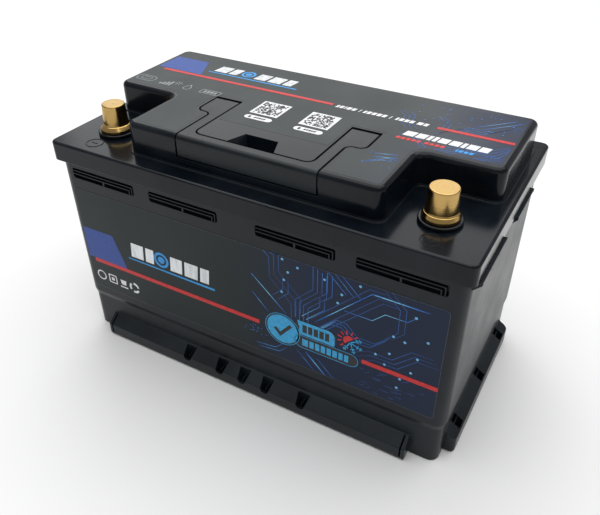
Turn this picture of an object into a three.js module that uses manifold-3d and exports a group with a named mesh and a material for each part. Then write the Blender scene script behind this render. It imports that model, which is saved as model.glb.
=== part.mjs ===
// Deep cycle battery: a 12.8 V lithium iron phosphate pack in a standard moulded case.
// Units are millimetres. +X runs along the long side, the labelled long side faces -Y and +Z is up.
// The origin is the centre of the underside.

import * as THREE from "three";
import { mergeVertices } from "three/addons/utils/BufferGeometryUtils.js";
import Module from "manifold-3d";

const wasm = await Module();
wasm.setup();

// ---- Driving dimensions ----------------------------------------------------------------------

const totalLength = 315; // over the end ledges
const totalWidth = 175; // over the long ledges
const totalHeight = 190; // to the tops of the posts
const gap = 0.3; // clearance between pieces that rest on each other

const wallLength = 299.6; // tub, above the step
const wallWidth = 159.6;
const wallThickness = 3.4;
const tubTop = 162.4;
const cornerRadius = 8;
const stepBottom = 32; // the foot of the tub is drawn in below this step
const stepTop = 36;
const stepInset = 1.2;

const longLedgeHalf = 130; // half length of the hold-down ledges
const endLedgeHalf = 65;
const ledgeEdgeHeight = 11;
const ledgePocketsLong = [-50, -20, 0, 20, 50];
const ledgePocketsEnd = [-50, 0, 50];

const ventCentres = [-112, -42.5, 42.5, 112];
const ventLength = 56;
const ventBottom = 141.2;
const ventHeight = 8;
const ventDepth = 1.9;

const labelHalf = 144; // front label
const labelBottom = 42;
const labelTop = 133;
const labelThickness = 0.4;
const labelSeat = 0.5;

const rimLength = 308.4; // lid
const rimWidth = 165.4;
const rimBottom = 153.7;
const plateTop = 168;
const plateThickness = 3;
const blockTop = 189.3;
const blockHalf = 146.2;
const blockBack = 69;
const blockFront = -14.5; // front of the wide part
const tongueHalf = 93; // half width of the middle part that reaches forward
const tongueFront = -68.1;
const blockFillet = 3.5;
const shell = 3; // wall of the raised block

const postX = 121;
const postY = -48.5;
const collarTop = 171.9;
const flangeTop = 175;
const postTaper = 1 / 9; // loss of diameter per millimetre of height
const positiveTopDiameter = 17.5;
const negativeTopDiameter = 15.9;

const pivotY = -15.5; // handle hinge
const pivotZ = 184;
const pinRadius = 2;
const armOuter = 51;
const armInner = 43.5;
const barInner = -60;
const padOuter = 63;
const padFront = -28;
const padRear = -5.2;
const padBend = 5; // radius of both bends between arm and pad
const armBend = 6; // radius inside the bar's corners
const handleBottom = 179.8;
const barBottom = 174.7;

const cellLength = 200; // cells lie on their sides, terminals towards +X
const cellThickness = 35.5;
const cellWidth = 130;
const cellStart = -142;
const cellBottom = 6.8;
const separatorThickness = 1;
const endPlateThickness = 1.5;
const cellPitch = cellThickness + separatorThickness + 2 * gap;
const cellRows = [-1.5, -0.5, 0.5, 1.5].map((step) => step * cellPitch);
const stackHalf = 1.5 * cellPitch + cellThickness / 2 + gap + endPlateThickness;
const cellEnd = cellStart + cellLength;
const cellTop = cellBottom + cellWidth;
const terminalLow = cellBottom + 31;
const terminalHigh = cellBottom + 98;
const boardX = 97;

const group = new THREE.Group();

// ---- Solids ----------------------------------------------------------------------------------

function toSolid(geometry) {
  const bare = geometry.clone();
  bare.deleteAttribute("normal");
  bare.deleteAttribute("uv");
  const merged = mergeVertices(bare, 1e-4);
  const vertProperties = Float32Array.from(merged.attributes.position.array);
  const triVerts = Uint32Array.from(merged.index.array);
  if (signedVolume(vertProperties, triVerts) < 0) {
    triVerts.reverse();
  }
  return new wasm.Manifold(new wasm.Mesh({ numProp: 3, vertProperties, triVerts }));
}

function signedVolume(positions, triangles) {
  const corners = [new THREE.Vector3(), new THREE.Vector3(), new THREE.Vector3()];
  let volume = 0;
  for (let start = 0; start < triangles.length; start += 3) {
    corners.forEach((corner, side) => corner.fromArray(positions, 3 * triangles[start + side]));
    volume += corners[0].dot(corners[1].clone().cross(corners[2])) / 6;
  }
  return volume;
}

function toGeometry(solid) {
  const mesh = solid.getMesh();
  const geometry = new THREE.BufferGeometry();
  geometry.setAttribute("position", new THREE.BufferAttribute(mesh.vertProperties, 3));
  geometry.setIndex(new THREE.BufferAttribute(mesh.triVerts, 1));
  return geometry;
}

function join(...solids) {
  return solids.reduce((whole, piece) => whole.add(piece));
}

function cut(body, ...tools) {
  return tools.reduce((rest, tool) => rest.subtract(tool), body);
}

function box(x0, x1, y0, y1, z0, z1) {
  const geometry = new THREE.BoxGeometry(x1 - x0, y1 - y0, z1 - z0);
  return toSolid(geometry.translate((x0 + x1) / 2, (y0 + y1) / 2, (z0 + z1) / 2));
}

function roundedRect(length, width, radius, centreX = 0, centreY = 0) {
  const x = length / 2;
  const y = width / 2;
  const shape = new THREE.Shape();
  shape.absarc(centreX + x - radius, centreY + y - radius, radius, 0, Math.PI / 2);
  shape.absarc(centreX - x + radius, centreY + y - radius, radius, Math.PI / 2, Math.PI);
  shape.absarc(centreX - x + radius, centreY - y + radius, radius, Math.PI, 1.5 * Math.PI);
  shape.absarc(centreX + x - radius, centreY - y + radius, radius, 1.5 * Math.PI, 2 * Math.PI);
  return shape;
}

function prism(shape, bottom, top, arcSteps = 2) {
  const options = { depth: top - bottom, bevelEnabled: false, curveSegments: arcSteps };
  return toSolid(new THREE.ExtrudeGeometry(shape, options).translate(0, 0, bottom));
}

// A prism whose end edges are bevelled: inset sideways, over bevelHeight upwards.
function bevelledPrism(shape, bottom, top, inset, bevelHeight, bevelSteps, arcSteps = 2) {
  const options = {
    depth: top - bottom - 2 * bevelHeight,
    bevelEnabled: true,
    bevelSize: inset,
    bevelOffset: -inset,
    bevelThickness: bevelHeight,
    bevelSegments: bevelSteps,
    curveSegments: arcSteps,
  };
  const geometry = new THREE.ExtrudeGeometry(shape, options);
  return toSolid(geometry.translate(0, 0, bottom + bevelHeight));
}

function polygon(points) {
  return new THREE.Shape(points.map(([x, y]) => new THREE.Vector2(x, y)));
}

// A profile given as [y, z] pairs, run along X.
function barAlongX(profile, x0, x1) {
  const geometry = new THREE.ExtrudeGeometry(polygon(profile), { depth: x1 - x0, bevelEnabled: false });
  const axes = new THREE.Matrix4().set(0, 0, 1, x0, 1, 0, 0, 0, 0, 1, 0, 0, 0, 0, 0, 1);
  return toSolid(geometry.applyMatrix4(axes));
}

// A profile given as [x, z] pairs, run along Y.
function barAlongY(profile, y0, y1) {
  const turned = profile.map(([x, z]) => [z, x]);
  const geometry = new THREE.ExtrudeGeometry(polygon(turned), { depth: y1 - y0, bevelEnabled: false });
  const axes = new THREE.Matrix4().set(0, 1, 0, 0, 0, 0, 1, y0, 1, 0, 0, 0, 0, 0, 0, 1);
  return toSolid(geometry.applyMatrix4(axes));
}

function cylinder(radius, bottom, top, x, y, sides = 24) {
  const geometry = new THREE.CylinderGeometry(radius, radius, top - bottom, sides);
  return toSolid(geometry.rotateX(Math.PI / 2).translate(x, y, (bottom + top) / 2));
}

function cylinderAlongX(radius, x0, x1, y, z, sides = 24) {
  const geometry = new THREE.CylinderGeometry(radius, radius, x1 - x0, sides);
  return toSolid(geometry.rotateZ(Math.PI / 2).translate((x0 + x1) / 2, y, z));
}

// A turned piece from [radius, z] pairs. The profile starts and ends on the axis, or is closed.
function turned(profile, x, y, sides = 32) {
  const points = profile.map(([radius, z]) => new THREE.Vector2(radius, z));
  return toSolid(new THREE.LatheGeometry(points, sides).rotateX(Math.PI / 2).translate(x, y, 0));
}

function ring(inner, outer, bottom, top, x, y, sides = 32) {
  const profile = [[inner, bottom], [outer, bottom], [outer, top], [inner, top], [inner, bottom]];
  return turned(profile, x, y, sides);
}

// A solid between two outlines with the same number of corners, at two heights.
function frustum(lower, bottom, upper, top) {
  const count = lower.length;
  const positions = [...lower.map((p) => [...p, bottom]), ...upper.map((p) => [...p, top])].flat();
  const index = [];
  for (let corner = 0; corner < count; corner += 1) {
    const next = (corner + 1) % count;
    index.push(corner, next, count + next, corner, count + next, count + corner);
  }
  for (let corner = 1; corner < count - 1; corner += 1) {
    index.push(0, corner + 1, corner, count, count + corner, count + corner + 1);
  }
  const geometry = new THREE.BufferGeometry();
  geometry.setAttribute("position", new THREE.Float32BufferAttribute(positions, 3));
  geometry.setIndex(index);
  return toSolid(geometry);
}

function tube(points, radius, steps, halfSides = 4) {
  const outline = new THREE.Shape();
  outline.absarc(0, 0, radius, 0, 2 * Math.PI);
  const path = new THREE.CatmullRomCurve3(points.map((point) => new THREE.Vector3(...point)));
  const options = { steps, curveSegments: halfSides, extrudePath: path };
  return toSolid(new THREE.ExtrudeGeometry(outline, options));
}

// ---- Materials -------------------------------------------------------------------------------

const finishes = {
  casePlastic: { color: 0x1b1d20, roughness: 0.42, metalness: 0 },
  handlePlastic: { color: 0x1d1f22, roughness: 0.45, metalness: 0 },
  collarPlastic: { color: 0x0c0d0f, roughness: 0.35, metalness: 0 },
  brass: { color: 0xc9a661, roughness: 0.28, metalness: 1 },
  steel: { color: 0xb4b6b8, roughness: 0.35, metalness: 1 },
  copper: { color: 0xb87348, roughness: 0.35, metalness: 1 },
  aluminium: { color: 0xa9adb0, roughness: 0.4, metalness: 1 },
  cellWrap: { color: 0x2463b5, roughness: 0.5, metalness: 0 },
  fibreBoard: { color: 0xc9bd8a, roughness: 0.6, metalness: 0 },
  circuitBoard: { color: 0x14502f, roughness: 0.45, metalness: 0 },
  label: { color: 0x1c2026, roughness: 0.38, metalness: 0 },
  rubber: { color: 0x151515, roughness: 0.8, metalness: 0 },
  sealant: { color: 0x202226, roughness: 0.6, metalness: 0 },
  foam: { color: 0x3b3d40, roughness: 0.95, metalness: 0 },
  redCable: { color: 0xb3201c, roughness: 0.5, metalness: 0 },
  blackCable: { color: 0x141414, roughness: 0.5, metalness: 0 },
  strap: { color: 0x2f6b3c, roughness: 0.6, metalness: 0 },
};

function addPart(name, solid, finish) {
  const mesh = new THREE.Mesh(toGeometry(solid), new THREE.MeshStandardMaterial(finishes[finish]));
  mesh.name = name;
  group.add(mesh);
}

// ---- Case tub --------------------------------------------------------------------------------

function longLedge(side) {
  const wall = wallWidth / 2 - stepInset;
  const outer = totalWidth / 2;
  const edge = outer - 0.8;
  const profile = [
    [side * (wall - 1), 0],
    [side * edge, 0],
    [side * outer, 1.2],
    [side * outer, ledgeEdgeHeight],
    [side * wall, 17.6],
    [side * (wall - 1), 17.6],
  ];
  const ledge = barAlongX(profile, -longLedgeHalf, longLedgeHalf);
  const pockets = ledgePocketsLong.map((x) =>
    prism(roundedRect(8, 8, 2.4, x, side * (wall + 4.2)), 5.5, 20, 1),
  );
  const webs = ledgePocketsLong.map((x) =>
    box(x - 0.5, x + 0.5, side > 0 ? wall : -wall - 6, side > 0 ? wall + 6 : -wall, 4, 10.5),
  );
  return join(cut(ledge, ...pockets), ...webs);
}

function endLedge(side) {
  const wall = wallLength / 2 - stepInset;
  const outer = totalLength / 2;
  const ridge = wall + 3.1;
  const profile = [
    [side * (wall - 1), 0],
    [side * (outer - 0.8), 0],
    [side * outer, 1.2],
    [side * outer, 13.2],
    [side * ridge, 16.8],
    [side * wall, 15.4],
    [side * (wall - 1), 15.4],
  ];
  const ledge = barAlongY(profile, -endLedgeHalf, endLedgeHalf);
  const pockets = ledgePocketsEnd.flatMap((y) => [
    notchAcross(side * (wall + 0.6), side * (ridge - 0.5), y, 7),
    notchAcross(side * (ridge + 0.5), side * (outer - 0.9), y, 7),
  ]);
  return cut(ledge, ...pockets);
}

function notchAcross(xA, xB, y, width) {
  return box(Math.min(xA, xB), Math.max(xA, xB), y - width / 2, y + width / 2, 7, 20);
}

function carryLip(side, y0, y1) {
  const wall = wallLength / 2 - 1;
  const outer = totalLength / 2 - 1.6;
  const top = rimBottom - 0.4;
  const profile = [
    [side * wall, top - 9.5],
    [side * (outer - 1.2), top - 3.4],
    [side * outer, top - 2.2],
    [side * outer, top],
    [side * wall, top],
  ];
  const grooves = [0.36, 0.68].map((share) => {
    const y = y0 + share * (y1 - y0);
    return box(Math.min(side * (wall + 2.5), side * (outer + 1)),
      Math.max(side * (wall + 2.5), side * (outer + 1)), y - 0.9, y + 0.9, top - 12, top - 1.2);
  });
  return cut(barAlongY(profile, y0, y1), ...grooves);
}

// A stadium pocket that keeps two thin bars, the lower one tied to the wall below by a web.
function ventGrooves(side) {
  const wall = wallWidth / 2;
  const centreZ = ventBottom + ventHeight / 2;
  const depthRange = side > 0 ? [wall - ventDepth, wall + 1] : [-wall - 1, -wall + ventDepth];
  const barRange = side > 0 ? [wall - ventDepth - 0.2, wall - 0.5] : [-wall + 0.5, -wall + ventDepth + 0.2];
  return ventCentres.map((centre) => {
    const outline = roundedRect(ventLength, ventHeight, 2.2, centre, centreZ);
    const options = { depth: depthRange[1] - depthRange[0], bevelEnabled: false, curveSegments: 1 };
    const standing = new THREE.ExtrudeGeometry(outline, options).rotateX(Math.PI / 2);
    const pocket = toSolid(standing.translate(0, depthRange[1], 0));
    const half = ventLength / 2 - 1.2;
    const bars = [
      box(centre - half, centre + half + 2, ...barRange, centreZ + 1.6, centreZ + 2.3),
      box(centre - half - 2, centre + half - 2, ...barRange, centreZ - 1.2, centreZ - 0.5),
      box(centre - 0.6, centre + 0.6, ...barRange, ventBottom - 0.5, centreZ - 1),
    ];
    return cut(pocket, ...bars);
  });
}

function makeCaseTub() {
  const foot = roundedRect(wallLength - 2 * stepInset, wallWidth - 2 * stepInset, cornerRadius);
  const lower = bevelledPrism(foot, 0, stepTop, 1.2, 1.2, 1);
  const outline = roundedRect(wallLength, wallWidth, cornerRadius);
  const tall = bevelledPrism(outline, stepBottom, tubTop + 6, stepInset, stepTop - stepBottom, 1);
  const upper = cut(tall, box(-160, 160, -90, 90, tubTop, tubTop + 10));
  const inside = roundedRect(wallLength - 2 * wallThickness, wallWidth - 2 * wallThickness, 5);
  const hollow = prism(inside, wallThickness, tubTop + 1);
  const footInside = roundedRect(
    wallLength - 2 * stepInset - 2 * wallThickness + 2.4,
    wallWidth - 2 * stepInset - 2 * wallThickness + 2.4,
    5,
  );
  const footHollow = prism(footInside, wallThickness, stepTop);
  const seatFace = -wallWidth / 2;
  const seat = box(-labelHalf, labelHalf, seatFace - 1, seatFace + labelSeat, labelBottom, labelTop);
  const body = join(lower, upper, longLedge(1), longLedge(-1), endLedge(1), endLedge(-1));
  const lips = [1, -1].flatMap((side) => [carryLip(side, -74, -24), carryLip(side, 1, 42)]);
  const shelled = cut(join(body, ...lips), hollow, footHollow, seat);
  return cut(shelled, ...ventGrooves(-1), ...ventGrooves(1));
}

// ---- Lid -------------------------------------------------------------------------------------

// The raised block seen from above: a wide part behind and a tongue that reaches forward.
function blockOutline(inset, radius) {
  const wide = blockHalf - inset;
  const tongue = tongueHalf - inset;
  const back = blockBack - inset;
  const front = blockFront + inset;
  const nose = tongueFront + inset;
  const shape = new THREE.Shape();
  shape.absarc(wide - radius, back - radius, radius, 0, Math.PI / 2);
  shape.absarc(-wide + radius, back - radius, radius, Math.PI / 2, Math.PI);
  shape.absarc(-wide + radius, front + radius, radius, Math.PI, 1.5 * Math.PI);
  shape.absarc(-tongue - radius, front - radius, radius, Math.PI / 2, 0, true);
  shape.absarc(-tongue + radius, nose + radius, radius, Math.PI, 1.5 * Math.PI);
  shape.absarc(tongue - radius, nose + radius, radius, 1.5 * Math.PI, 2 * Math.PI);
  shape.absarc(tongue + radius, front - radius, radius, Math.PI, Math.PI / 2, true);
  shape.absarc(wide - radius, front + radius, radius, 1.5 * Math.PI, 2 * Math.PI);
  return shape;
}

function raisedBlock() {
  const whole = bevelledPrism(blockOutline(0, 6.5), 150, blockTop, blockFillet, blockFillet, 2, 3);
  return cut(whole, box(-160, 160, -90, 90, 140, plateTop - 1));
}

// The handle seen from above, grown by clearances: outwards, inwards and at its rear ends.
function handleOutline(outward, inward, rearward, front) {
  const side = armOuter + outward;
  const pad = padOuter + outward;
  const inner = armInner - inward;
  const rear = padRear + rearward;
  const bendCentreX = armOuter + padBend;
  const bendCentreY = padFront - padBend;
  const padCentreX = padOuter - padBend;
  const padCentreY = padFront + padBend;
  const inside = padBend - outward;
  const outside = padBend + outward;
  const loop = armBend - inward;
  const loopX = armInner - armBend;
  const loopY = barInner + armBend;
  const quarter = Math.PI / 2;
  const shape = new THREE.Shape();
  shape.moveTo(-side, front);
  shape.lineTo(side, front);
  shape.lineTo(side, bendCentreY);
  shape.absarc(bendCentreX, bendCentreY, inside, 2 * quarter, quarter, true);
  shape.absarc(padCentreX, padCentreY, outside, 3 * quarter, 4 * quarter);
  shape.lineTo(pad, rear);
  shape.lineTo(inner, rear);
  shape.absarc(loopX, loopY, loop, 0, -quarter, true);
  shape.absarc(-loopX, loopY, loop, -quarter, -2 * quarter, true);
  shape.lineTo(-inner, rear);
  shape.lineTo(-pad, rear);
  shape.absarc(-padCentreX, padCentreY, outside, 2 * quarter, 3 * quarter);
  shape.absarc(-bendCentreX, bendCentreY, inside, quarter, 0, true);
  shape.lineTo(-side, front);
  return shape;
}

function handleRecess() {
  const clear = 1.2;
  const floor = 178.2;
  const trough = prism(handleOutline(clear, 0.8, 2.5, tongueFront - 5), floor, blockTop + 5);
  const side = armOuter + clear;
  const barTrough = box(-side, side, tongueFront - 5, barInner + 0.8, barBottom - 0.8, floor + 1);
  const padPits = [-1, 1].map((side) => {
    const xs = [side * (armInner - 0.8), side * (padOuter + clear)];
    return box(Math.min(...xs), Math.max(...xs), padFront - 0.5, padRear + 2.5, 171.8, floor + 1);
  });
  return join(trough, barTrough, ...padPits);
}

function fingerNotch() {
  const lower = [[-9, -62], [9, -62], [9, -47.5], [-9, -47.5]];
  const upper = [[-18.2, -62], [18.2, -62], [12, -45], [-12, -45]];
  return frustum(lower, 176.2, upper, blockTop + 0.01);
}

// Raised sign in a ring beside each post: a bar for negative, a cross for positive.
function polarityMark(side) {
  const x = side * 123;
  const y = -67.8;
  const base = plateTop - 0.5;
  const top = plateTop + 0.6;
  const sign = [box(x - 2.4, x + 2.4, y - 0.55, y + 0.55, base, top)];
  if (side > 0) {
    sign.push(box(x - 0.55, x + 0.55, y - 2.4, y + 2.4, base, top));
  }
  return join(ring(3.6, 4.5, base, top, x, y, 24), ...sign);
}

function lidHollows() {
  const under = plateTop - plateThickness;
  const ceiling = blockTop - shell;
  const back = blockBack - shell;
  const wide = blockHalf - shell;
  const tongue = tongueHalf - shell;
  const padWall = padOuter + 1.2 + shell;
  const behindPads = padRear + 2.5 + shell;
  const outline = roundedRect(2 * wide, back - behindPads, 4, 0, (back + behindPads) / 2);
  const islandHalf = armInner - 0.8 - shell;
  return [
    prism(outline, under - 1, ceiling, 1),
    ...[-1, 1].flatMap((side) => {
      const span = (a, b) => [Math.min(side * a, side * b), Math.max(side * a, side * b)];
      return [
        box(...span(padWall, wide), blockFront + shell, behindPads + 5, under - 1, ceiling),
        box(...span(padWall, tongue), tongueFront + shell + 1.5, behindPads + 5, under - 1, ceiling),
        box(...span(armOuter + 4.2, padWall + 1), tongueFront + 4.5, padFront - 4, under - 1, ceiling),
      ];
    }),
    box(-islandHalf, islandHalf, -42, behindPads + 5, under - 1, ceiling),
    box(-tongue + 2, tongue - 2, tongueFront + 4.5, padFront - 4, under - 1, 170.6),
  ];
}

function makeLid() {
  const rim = bevelledPrism(roundedRect(rimLength, rimWidth, cornerRadius), 140, plateTop, 2.6, 1.6, 1);
  const skirt = cut(rim, box(-170, 170, -100, 100, 130, rimBottom));
  const inside = roundedRect(wallLength + 1.4, wallWidth + 1.4, cornerRadius + 0.3);
  const mouth = prism(inside, rimBottom - 1, plateTop - plateThickness);
  const marks = [-1, 1].map(polarityMark);
  const body = join(cut(skirt, mouth), raisedBlock(), ...marks);
  const postHoles = [-1, 1].map((side) => cylinder(6.4, 160, 172, side * postX, postY));
  const pinHoles = [-1, 1].map((side) => {
    const xs = [side * 37, side * 70];
    return cylinderAlongX(pinRadius + 0.35, Math.min(...xs), Math.max(...xs), pivotY, pivotZ, 16);
  });
  return cut(body, ...lidHollows(), handleRecess(), fingerNotch(), ...postHoles, ...pinHoles);
}

function makeLidSealant() {
  const bottom = tubTop + gap;
  const top = plateTop - plateThickness - gap;
  const outer = prism(roundedRect(wallLength - 0.4, wallWidth - 0.4, cornerRadius), bottom, top);
  const inner = prism(roundedRect(wallLength - 5.6, wallWidth - 5.6, 5.4), bottom - 1, top + 1);
  return cut(outer, inner);
}

// ---- Handle ----------------------------------------------------------------------------------

function makeCarryHandle() {
  const frame = prism(handleOutline(0, 0, 0, tongueFront - 3), handleBottom, blockTop + 2);
  const grip = box(-armOuter, armOuter, tongueFront - 3, barInner, barBottom, handleBottom + 1);
  const rounded = join(frame, grip).intersect(raisedBlock());
  const ribs = 8;
  const pitch = (2 * armOuter - 3) / ribs;
  const cores = Array.from({ length: ribs }, (_, index) => {
    const x0 = -armOuter + 3 + index * pitch;
    return box(x0, x0 + pitch - 3, tongueFront + 2.2, barInner - 1.8, barBottom - 1, blockTop - 3.4);
  });
  const pinHoles = [-1, 1].map((side) => {
    const xs = [side * (armInner - 1), side * (padOuter + 1)];
    return cylinderAlongX(pinRadius + 0.35, Math.min(...xs), Math.max(...xs), pivotY, pivotZ, 16);
  });
  return cut(rounded, ...cores, ...pinHoles);
}

function makeHandlePin(side) {
  const xs = [side * 38, side * 69];
  return cylinderAlongX(pinRadius, Math.min(...xs), Math.max(...xs), pivotY, pivotZ, 20);
}

// ---- Terminals -------------------------------------------------------------------------------

// Stud below, neck through the lid, flange on the collar and the standard taper above.
function makePost(side, topDiameter) {
  const topRadius = topDiameter / 2;
  const footRadius = topRadius + ((totalHeight - flangeTop) * postTaper) / 2;
  const flangeRadius = 11.4;
  const under = collarTop + gap;
  const profile = [
    [0, 151.5],
    [3.4, 151.5],
    [4, 152.1],
    [4, 165.4],
    [6, 165.4],
    [6, under],
    [flangeRadius, under],
    [flangeRadius, flangeTop - 0.5],
    [flangeRadius - 0.5, flangeTop],
    [footRadius, flangeTop],
    [topRadius + 0.05, totalHeight - 0.7],
    [topRadius - 0.6, totalHeight],
    [0, totalHeight],
  ];
  return turned(profile, side * postX, postY, 28);
}

function makeCollar(side) {
  const base = plateTop + gap;
  const profile = [
    [8.8, base],
    [14, base],
    [14, collarTop - 0.8],
    [13.2, collarTop],
    [6.4, collarTop],
    [6.4, base + 2],
    [8.8, base + 2],
    [8.8, base],
  ];
  return turned(profile, side * postX, postY, 28);
}

function makeORing(side) {
  const centre = 7.55;
  const section = 0.75;
  const middle = plateTop + 2 * gap + section;
  const turns = Array.from({ length: 7 }, (_, step) => (step * Math.PI) / 3);
  const profile = turns.map((angle) => [
    centre + section * Math.cos(angle),
    middle + section * Math.sin(angle),
  ]);
  profile[6] = profile[0];
  return turned(profile, side * postX, postY, 16);
}

function hexNut(acrossFlats, hole, thickness) {
  const shape = new THREE.Shape();
  const corner = acrossFlats / Math.sqrt(3);
  for (let side = 0; side < 6; side += 1) {
    const angle = (side * Math.PI) / 3;
    shape[side ? "lineTo" : "moveTo"](corner * Math.cos(angle), corner * Math.sin(angle));
  }
  const bore = new THREE.Path();
  bore.absarc(0, 0, hole, 0, 2 * Math.PI);
  shape.holes.push(bore);
  return new THREE.ExtrudeGeometry(shape, { depth: thickness, bevelEnabled: false, curveSegments: 6 });
}

// Ring tongue round the stud with a barrel towards the middle of the battery.
function makeLug(side) {
  const x = side * postX;
  const towards = (distance) => x - side * distance;
  const span = (a, b) => [Math.min(towards(a), towards(b)), Math.max(towards(a), towards(b))];
  const tongue = join(
    cylinder(9.5, 161.4, 162.9, x, postY),
    box(...span(0, 12), postY - 5, postY + 5, 161.4, 162.9),
  );
  const barrel = cylinderAlongX(3.6, ...span(10.5, 23), postY, 160.6, 16);
  return cut(join(tongue, barrel), cylinder(4.5, 160, 164, x, postY));
}

// ---- Labels ----------------------------------------------------------------------------------

function makeFrontLabel() {
  const back = -wallWidth / 2 + labelSeat - gap;
  const inset = 0.6;
  const outline = roundedRect(
    2 * (labelHalf - inset),
    labelTop - labelBottom - 2 * inset,
    2.5,
    0,
    (labelTop + labelBottom) / 2,
  );
  const options = { depth: labelThickness, bevelEnabled: false, curveSegments: 3 };
  const sheet = new THREE.ExtrudeGeometry(outline, options).rotateX(Math.PI / 2);
  return toSolid(sheet.translate(0, back, 0));
}

// One sheet over the raised block, cut away round the handle and in front on the middle panel.
function makeTopLabel() {
  const bottom = blockTop + gap;
  const top = bottom + 0.3;
  const margin = 4.6;
  const sheet = prism(blockOutline(margin, 4), bottom, top, 2);
  const clear = prism(handleOutline(2.6, 2.4, 4.4, -80), bottom - 1, top + 1);
  const panelFront = box(-armInner - 2, armInner + 2, -80, -34.5, bottom - 1, top + 1);
  return cut(sheet, clear, panelFront);
}

// ---- Cells -----------------------------------------------------------------------------------

function makeCell(row) {
  const half = cellThickness / 2;
  const outline = roundedRect(cellLength, cellThickness, 2, cellStart + cellLength / 2, row);
  const can = bevelledPrism(outline, cellBottom, cellTop, 0.8, 0.8, 1, 2);
  const terminals = [terminalLow, terminalHigh].flatMap((z) => [
    box(cellEnd - 1, cellEnd + 2.5, row - 9, row + 9, z - 9, z + 9),
    cylinderAlongX(3, cellEnd + 2, cellEnd + 12, row, z, 12),
  ]);
  const middle = cellBottom + cellWidth / 2;
  const vent = box(cellEnd - 1, cellEnd + 0.5, row - half / 3, row + half / 3, middle - 10, middle + 10);
  return join(can, ...terminals, vent);
}

function plateOnStuds(rows, z, extraHeight) {
  const x0 = cellEnd + 2.5 + gap;
  const x1 = x0 + 2;
  const low = Math.min(...rows) - 9;
  const high = Math.max(...rows) + 9;
  const plate = box(x0, x1, low, high, z - 9, z + 9 + extraHeight);
  const holes = rows.map((row) => cylinderAlongX(3.4, x0 - 1, x1 + 1, row, z, 16));
  return cut(plate, ...holes);
}

function makeCellNut(row, z) {
  const geometry = hexNut(10, 3.4, 5).rotateY(Math.PI / 2);
  return toSolid(geometry.translate(cellEnd + 4.5 + 2 * gap, row, z));
}

function makeStrap(x) {
  const inner = stackHalf + gap;
  const outer = inner + 0.5;
  const low = cellBottom - gap;
  const high = cellTop + gap;
  const band = box(x, x + 16, -outer, outer, low - 0.5, high + 0.5);
  return cut(band, box(x - 1, x + 17, -inner, inner, low, high));
}

// ---- Electronics -----------------------------------------------------------------------------

const screwSpots = [-52, 52].flatMap((y) => [30, 120].map((z) => [y, z]));

function makeBoard() {
  const board = box(boardX, boardX + 1.6, -60, 60, 22, 128);
  const switches = [-36, -22, -8, 8, 22, 36].map((y) =>
    box(boardX - 4.2, boardX + 0.5, y - 5, y + 5, 96, 111),
  );
  const socket = box(boardX - 7, boardX + 0.5, -48, -30, 70, 78);
  const holes = screwSpots.map(([y, z]) => cylinderAlongX(1.9, boardX - 5, boardX + 5, y, z, 12));
  return cut(join(board, ...switches, socket), ...holes);
}

function makeHeatSink() {
  const start = boardX + 1.6 + gap;
  const base = box(start, start + 3, -60, 60, 22, 128);
  const fins = Array.from({ length: 8 }, (_, index) => {
    const y = -42 + index * 12;
    return box(start + 2, start + 12, y - 0.8, y + 0.8, 22, 128);
  });
  const holes = screwSpots.map(([y, z]) => cylinderAlongX(1.9, start - 1, start + 14, y, z, 12));
  return cut(join(base, ...fins), ...holes);
}

function makeBoardScrew([y, z]) {
  const face = boardX - gap;
  return join(
    cylinderAlongX(2.8, face - 2.4, face, y, z, 16),
    cylinderAlongX(1.5, face - 0.5, face + 9, y, z, 12),
  );
}

function makeRadioModule() {
  const back = boardX - gap;
  const board = box(back - 1.2, back, -16, 16, 36, 58);
  return join(board, box(back - 3.6, back - 1, -12, 6, 39, 55));
}

// ---- Cable routes ----------------------------------------------------------------------------

const tabFace = cellEnd + 4.5 + 2 * gap;
const tabHeight = terminalHigh + 19;
const lugEndX = postX - 23 - gap;
const lugZ = 160.6;

const positiveRoute = [
  [tabFace, cellRows[0], tabHeight],
  [tabFace + 6, cellRows[0], tabHeight],
  [tabFace + 14, cellRows[0] + 1, tabHeight + 8],
  [tabFace + 19, postY - 2, 146],
  [lugEndX - 8, postY, lugZ - 1.5],
  [lugEndX - 3, postY, lugZ],
  [lugEndX, postY, lugZ],
];

const boardFace = boardX - gap;
const boardRoute = [
  [tabFace, cellRows[3], tabHeight],
  [tabFace + 6, cellRows[3], tabHeight],
  [tabFace + 15, cellRows[3] - 8, tabHeight - 1],
  [boardFace - 6, cellRows[3] - 18, 120],
  [boardFace, cellRows[3] - 18, 120],
];

const negativeRoute = [
  [boardFace, 0, 120],
  [boardFace - 5, 0, 120],
  [boardFace - 13, -1, 133],
  [boardFace - 24, -4, 146],
  [40, -10, 149],
  [0, -22, 149],
  [-50, -38, 149],
  [-85, -47, 156],
  [-lugEndX + 5, postY, lugZ],
  [-lugEndX, postY, lugZ],
];

const harnessRoute = [
  [boardFace - 7.2, -39, 74],
  [boardFace - 13, -39, 74],
  [77, -30, 72],
  [74, -10, 71],
  [74, 20, 71],
  [74, 50, 71],
];

// ---- Assembly --------------------------------------------------------------------------------

addPart("case_tub", makeCaseTub(), "casePlastic");
addPart("lid", makeLid(), "casePlastic");
addPart("lid_sealant", makeLidSealant(), "sealant");
addPart("carry_handle", makeCarryHandle(), "handlePlastic");
addPart("handle_pin_left", makeHandlePin(-1), "steel");
addPart("handle_pin_right", makeHandlePin(1), "steel");
addPart("front_label", makeFrontLabel(), "label");
addPart("top_label", makeTopLabel(), "label");

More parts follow.
